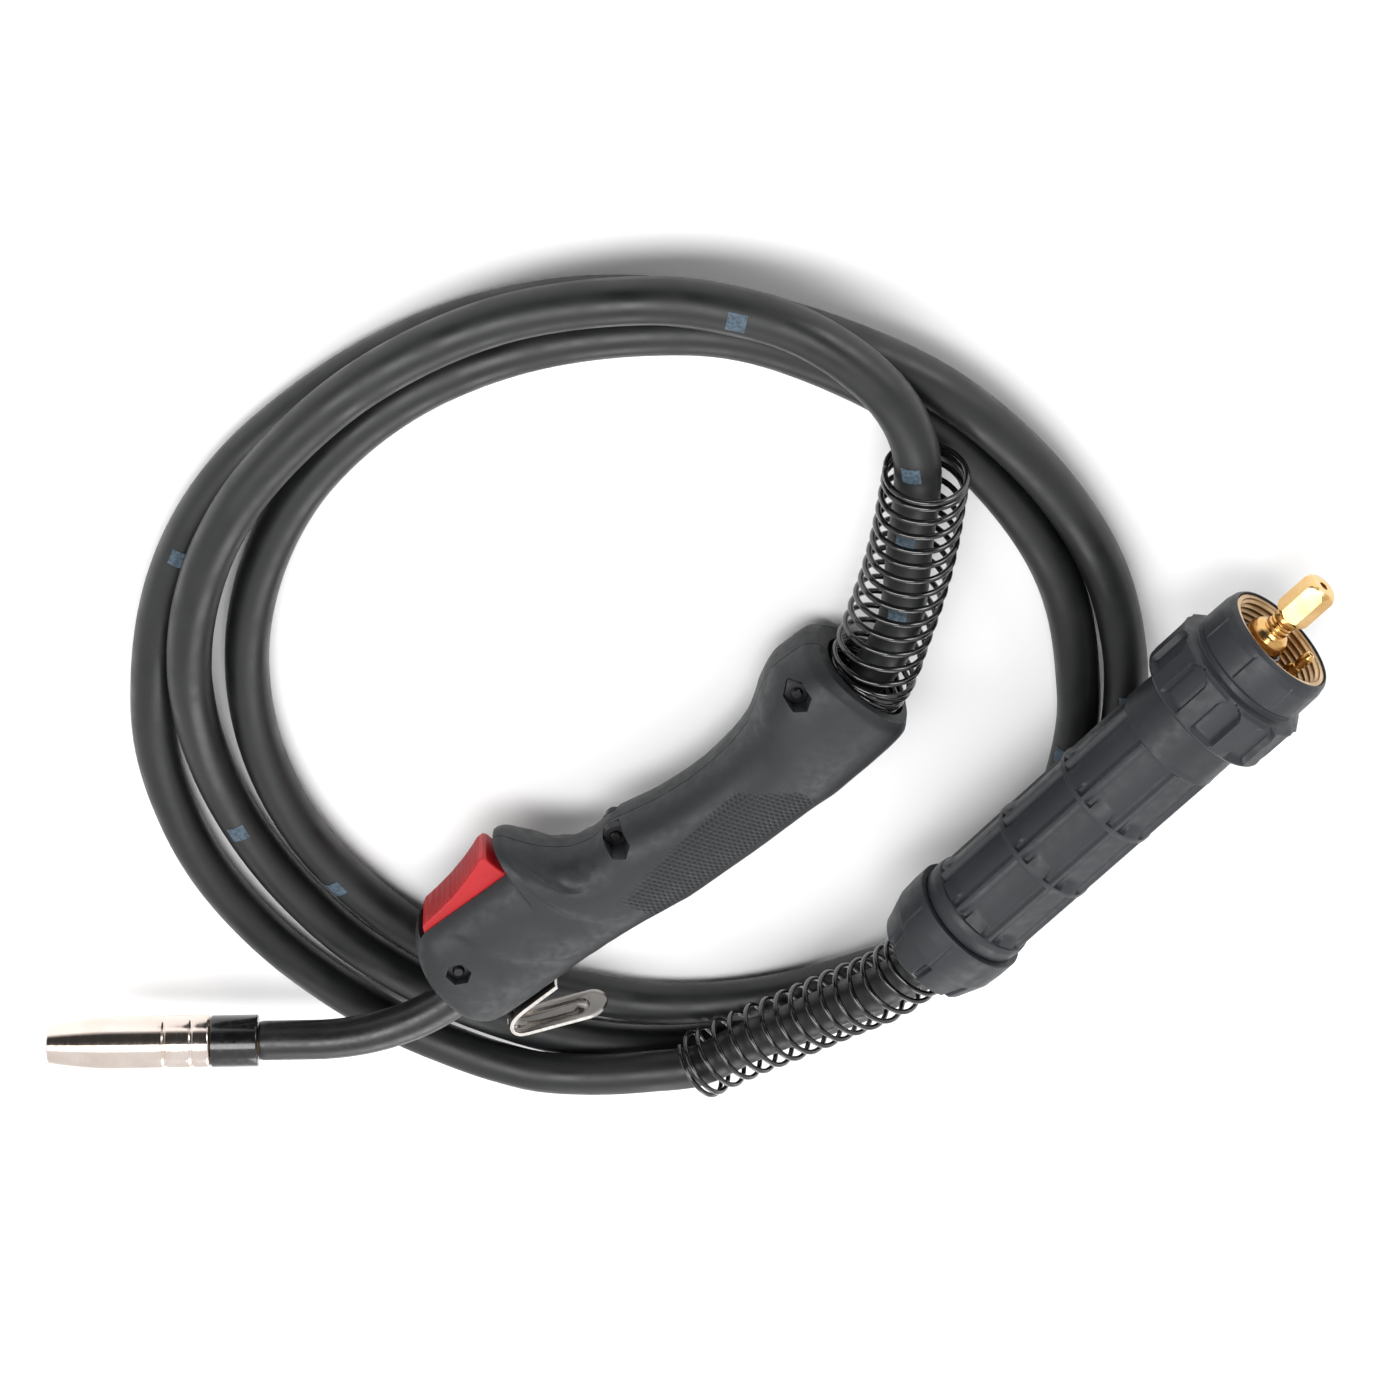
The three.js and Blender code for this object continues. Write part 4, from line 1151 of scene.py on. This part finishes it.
def connector():
    made = []

    def put(name, mesh, look, node, body="torch", **more):
        made.append(place(name, mesh, IN_CONNECTOR, look, node, body, **more))

    put("bend_guard_bell", turned(BELL, 240, corner=0.3, step=0.7, shape=bell_shape), "dark", "end_bell")
    body = turned(housing_profile(), 208, corner=0.25, step=0.9, shape=housing_shape)
    screw_hole = along_y(-20, -12, 1.6, SEAT_X, 0, 32)
    seat = along_y(-20, -15.9, 3.2, SEAT_X, 0, 48)
    put("grip_tube", combined(body, [screw_hole, seat]), "dark", "connector_housing")
    profile = [(12.6, 0), (12.6, 1.3), (16.3, 1.3), (16.3, 2.9), (17.2, 2.8), (17.7, 2), (17.7, 0)]
    put("grip_tube_screw", cross_headed(profile, SEAT_X, -17.1, 4, 0.4), "dark_steel", "housing_screw")
    nut = turned(nut_profile(), 320, corner=0.3, step=0.6, shape=nut_shape)
    put("union_nut", nut, "dark", "connector_nut", "coupling_nut")
    put("union_nut_thread", turned(thread_ring_profile(), 128, corner=0.12), "tan", "nut_thread_ring",
        "coupling_nut", smooth=25)
    face = turned([(113, 0), (113, 14.6), (134.5, 14.6), (134.5, 17.2), (138, 17.2), (138, 0)], 128)
    holes = [
        turned(bar(100, 150, r), 40, at, 0)
        for at, r in ((PIN_1, 2.45), (PIN_2, 2.45), (GAS_PIN, 2.1), (PLUG, 6.3))
    ]
    holes.append(along_y(-18, -12.2, 1.6, SEAT_X, 0, 24))
    put("plug_base", combined(face, holes), "brass", "plug_flange")
    profile = [
        (100.3, 1.7), (100.3, 5.9), (138.3, 5.9), (138.3, 7.6), (143, 7.6), (144, 7.25), (156.6, 6.9), (156.9, 5.9),
        (159.1, 5.9), (159.4, 6.7), (161.5, 6.5), (163.3, 5.9), (164.4, 4.9), (164.5, 3.8), (166, 3.8), (166.4, 3.3),
        (167, 3.8), (167.6, 3.3), (168.2, 3.8), (170, 3.8), (170, 1.7), (100.3, 1.7),
    ]
    put("plug_spigot", turned(profile, 96, PLUG, corner=0.3), "brass", "plug_body")
    hexagon = turned(bar(170.3, 184.4, hex_r(9.9)), 6, PLUG, 0)
    barrel = [
        (170.3, 1.4), (170.3, 4.9), (171.6, 5.75), (182, 5.75), (183.4, 5.2), (184.4, 4.1), (184.4, 1.4), (170.3, 1.4),
    ]
    cap = combined(hexagon, [turned(barrel, 96, PLUG, corner=0.25)], "INTERSECT")
    put("liner_cap", cap, "brass", "liner_nut", smooth=20)
    ring = circle(158, 7.05, 0.8, 20)
    put("seal_ring", turned(ring + ring[:1], 96, PLUG, 0), "black", "plug_o_ring", slot="cable_rubber")
    for number, at in ((1, PIN_1), (2, PIN_2)):
        pin = [
            (124, 0), (124, 1.45), (148, 1.45), (148.4, 1.15), (149, 1.15), (149.4, 1.45), (156.2, 1.45), (157.2, 1.1),
            (158, 0.45), (158, 0),
        ]
        node = f"contact_pin_{number}"
        put(f"spring_pin_{number}", turned(pin, 40, at, 0.15), "brass", node, node)
        put(f"pin_bush_{number}", turned(pipe(126, 146, 1.75, 2.1), 48, at, 0.1), "black", f"pin_sleeve_{number}")
    gas = [
        (126, 0.7), (126, 1.7), (160, 1.7), (160.4, 1.4), (161, 1.4), (161.4, 1.7), (164.6, 1.7), (166, 1.25),
        (166, 0.7), (126, 0.7),
    ]
    put("gas_spigot", turned(gas, 48, GAS_PIN, 0.15), "brass", "gas_pin")
    return made


connector_pieces = connector()

# ---- CAD nodes that stay as they are, mostly hidden inside, with their looks ----
KEPT = dict(
    trigger_pin="dark_steel", microswitch_body="black", switch_button="red", swan_neck_tube="old_brass",
    neck_nut="old_brass", cable_nipple_handle="old_brass", cable_in_handle="rubber", nozzle_spring="wire",
    cable_nipple_connector="old_brass", pin_wire_1="black", pin_wire_2="black", cable_in_connector="rubber",
)
for node, look in KEPT.items():
    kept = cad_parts[node]
    kept.material_slots[0].material = LOOK[look]
    kept.data.shade_smooth()
    kept.data.set_sharp_from_angle(angle=math.radians(40))

# ---- floor ----
sheet = bpy.data.meshes.new("floor")
half = 4
sheet.from_pydata([(-half, -half, 0), (half, -half, 0), (half, half, 0), (-half, half, 0)], [], [(0, 1, 2, 3)])
floor = bpy.data.objects.new("floor", sheet)
floor.location.z = -0.0003
floor.data.materials.append(floor_paint())
bpy.context.collection.objects.link(floor)
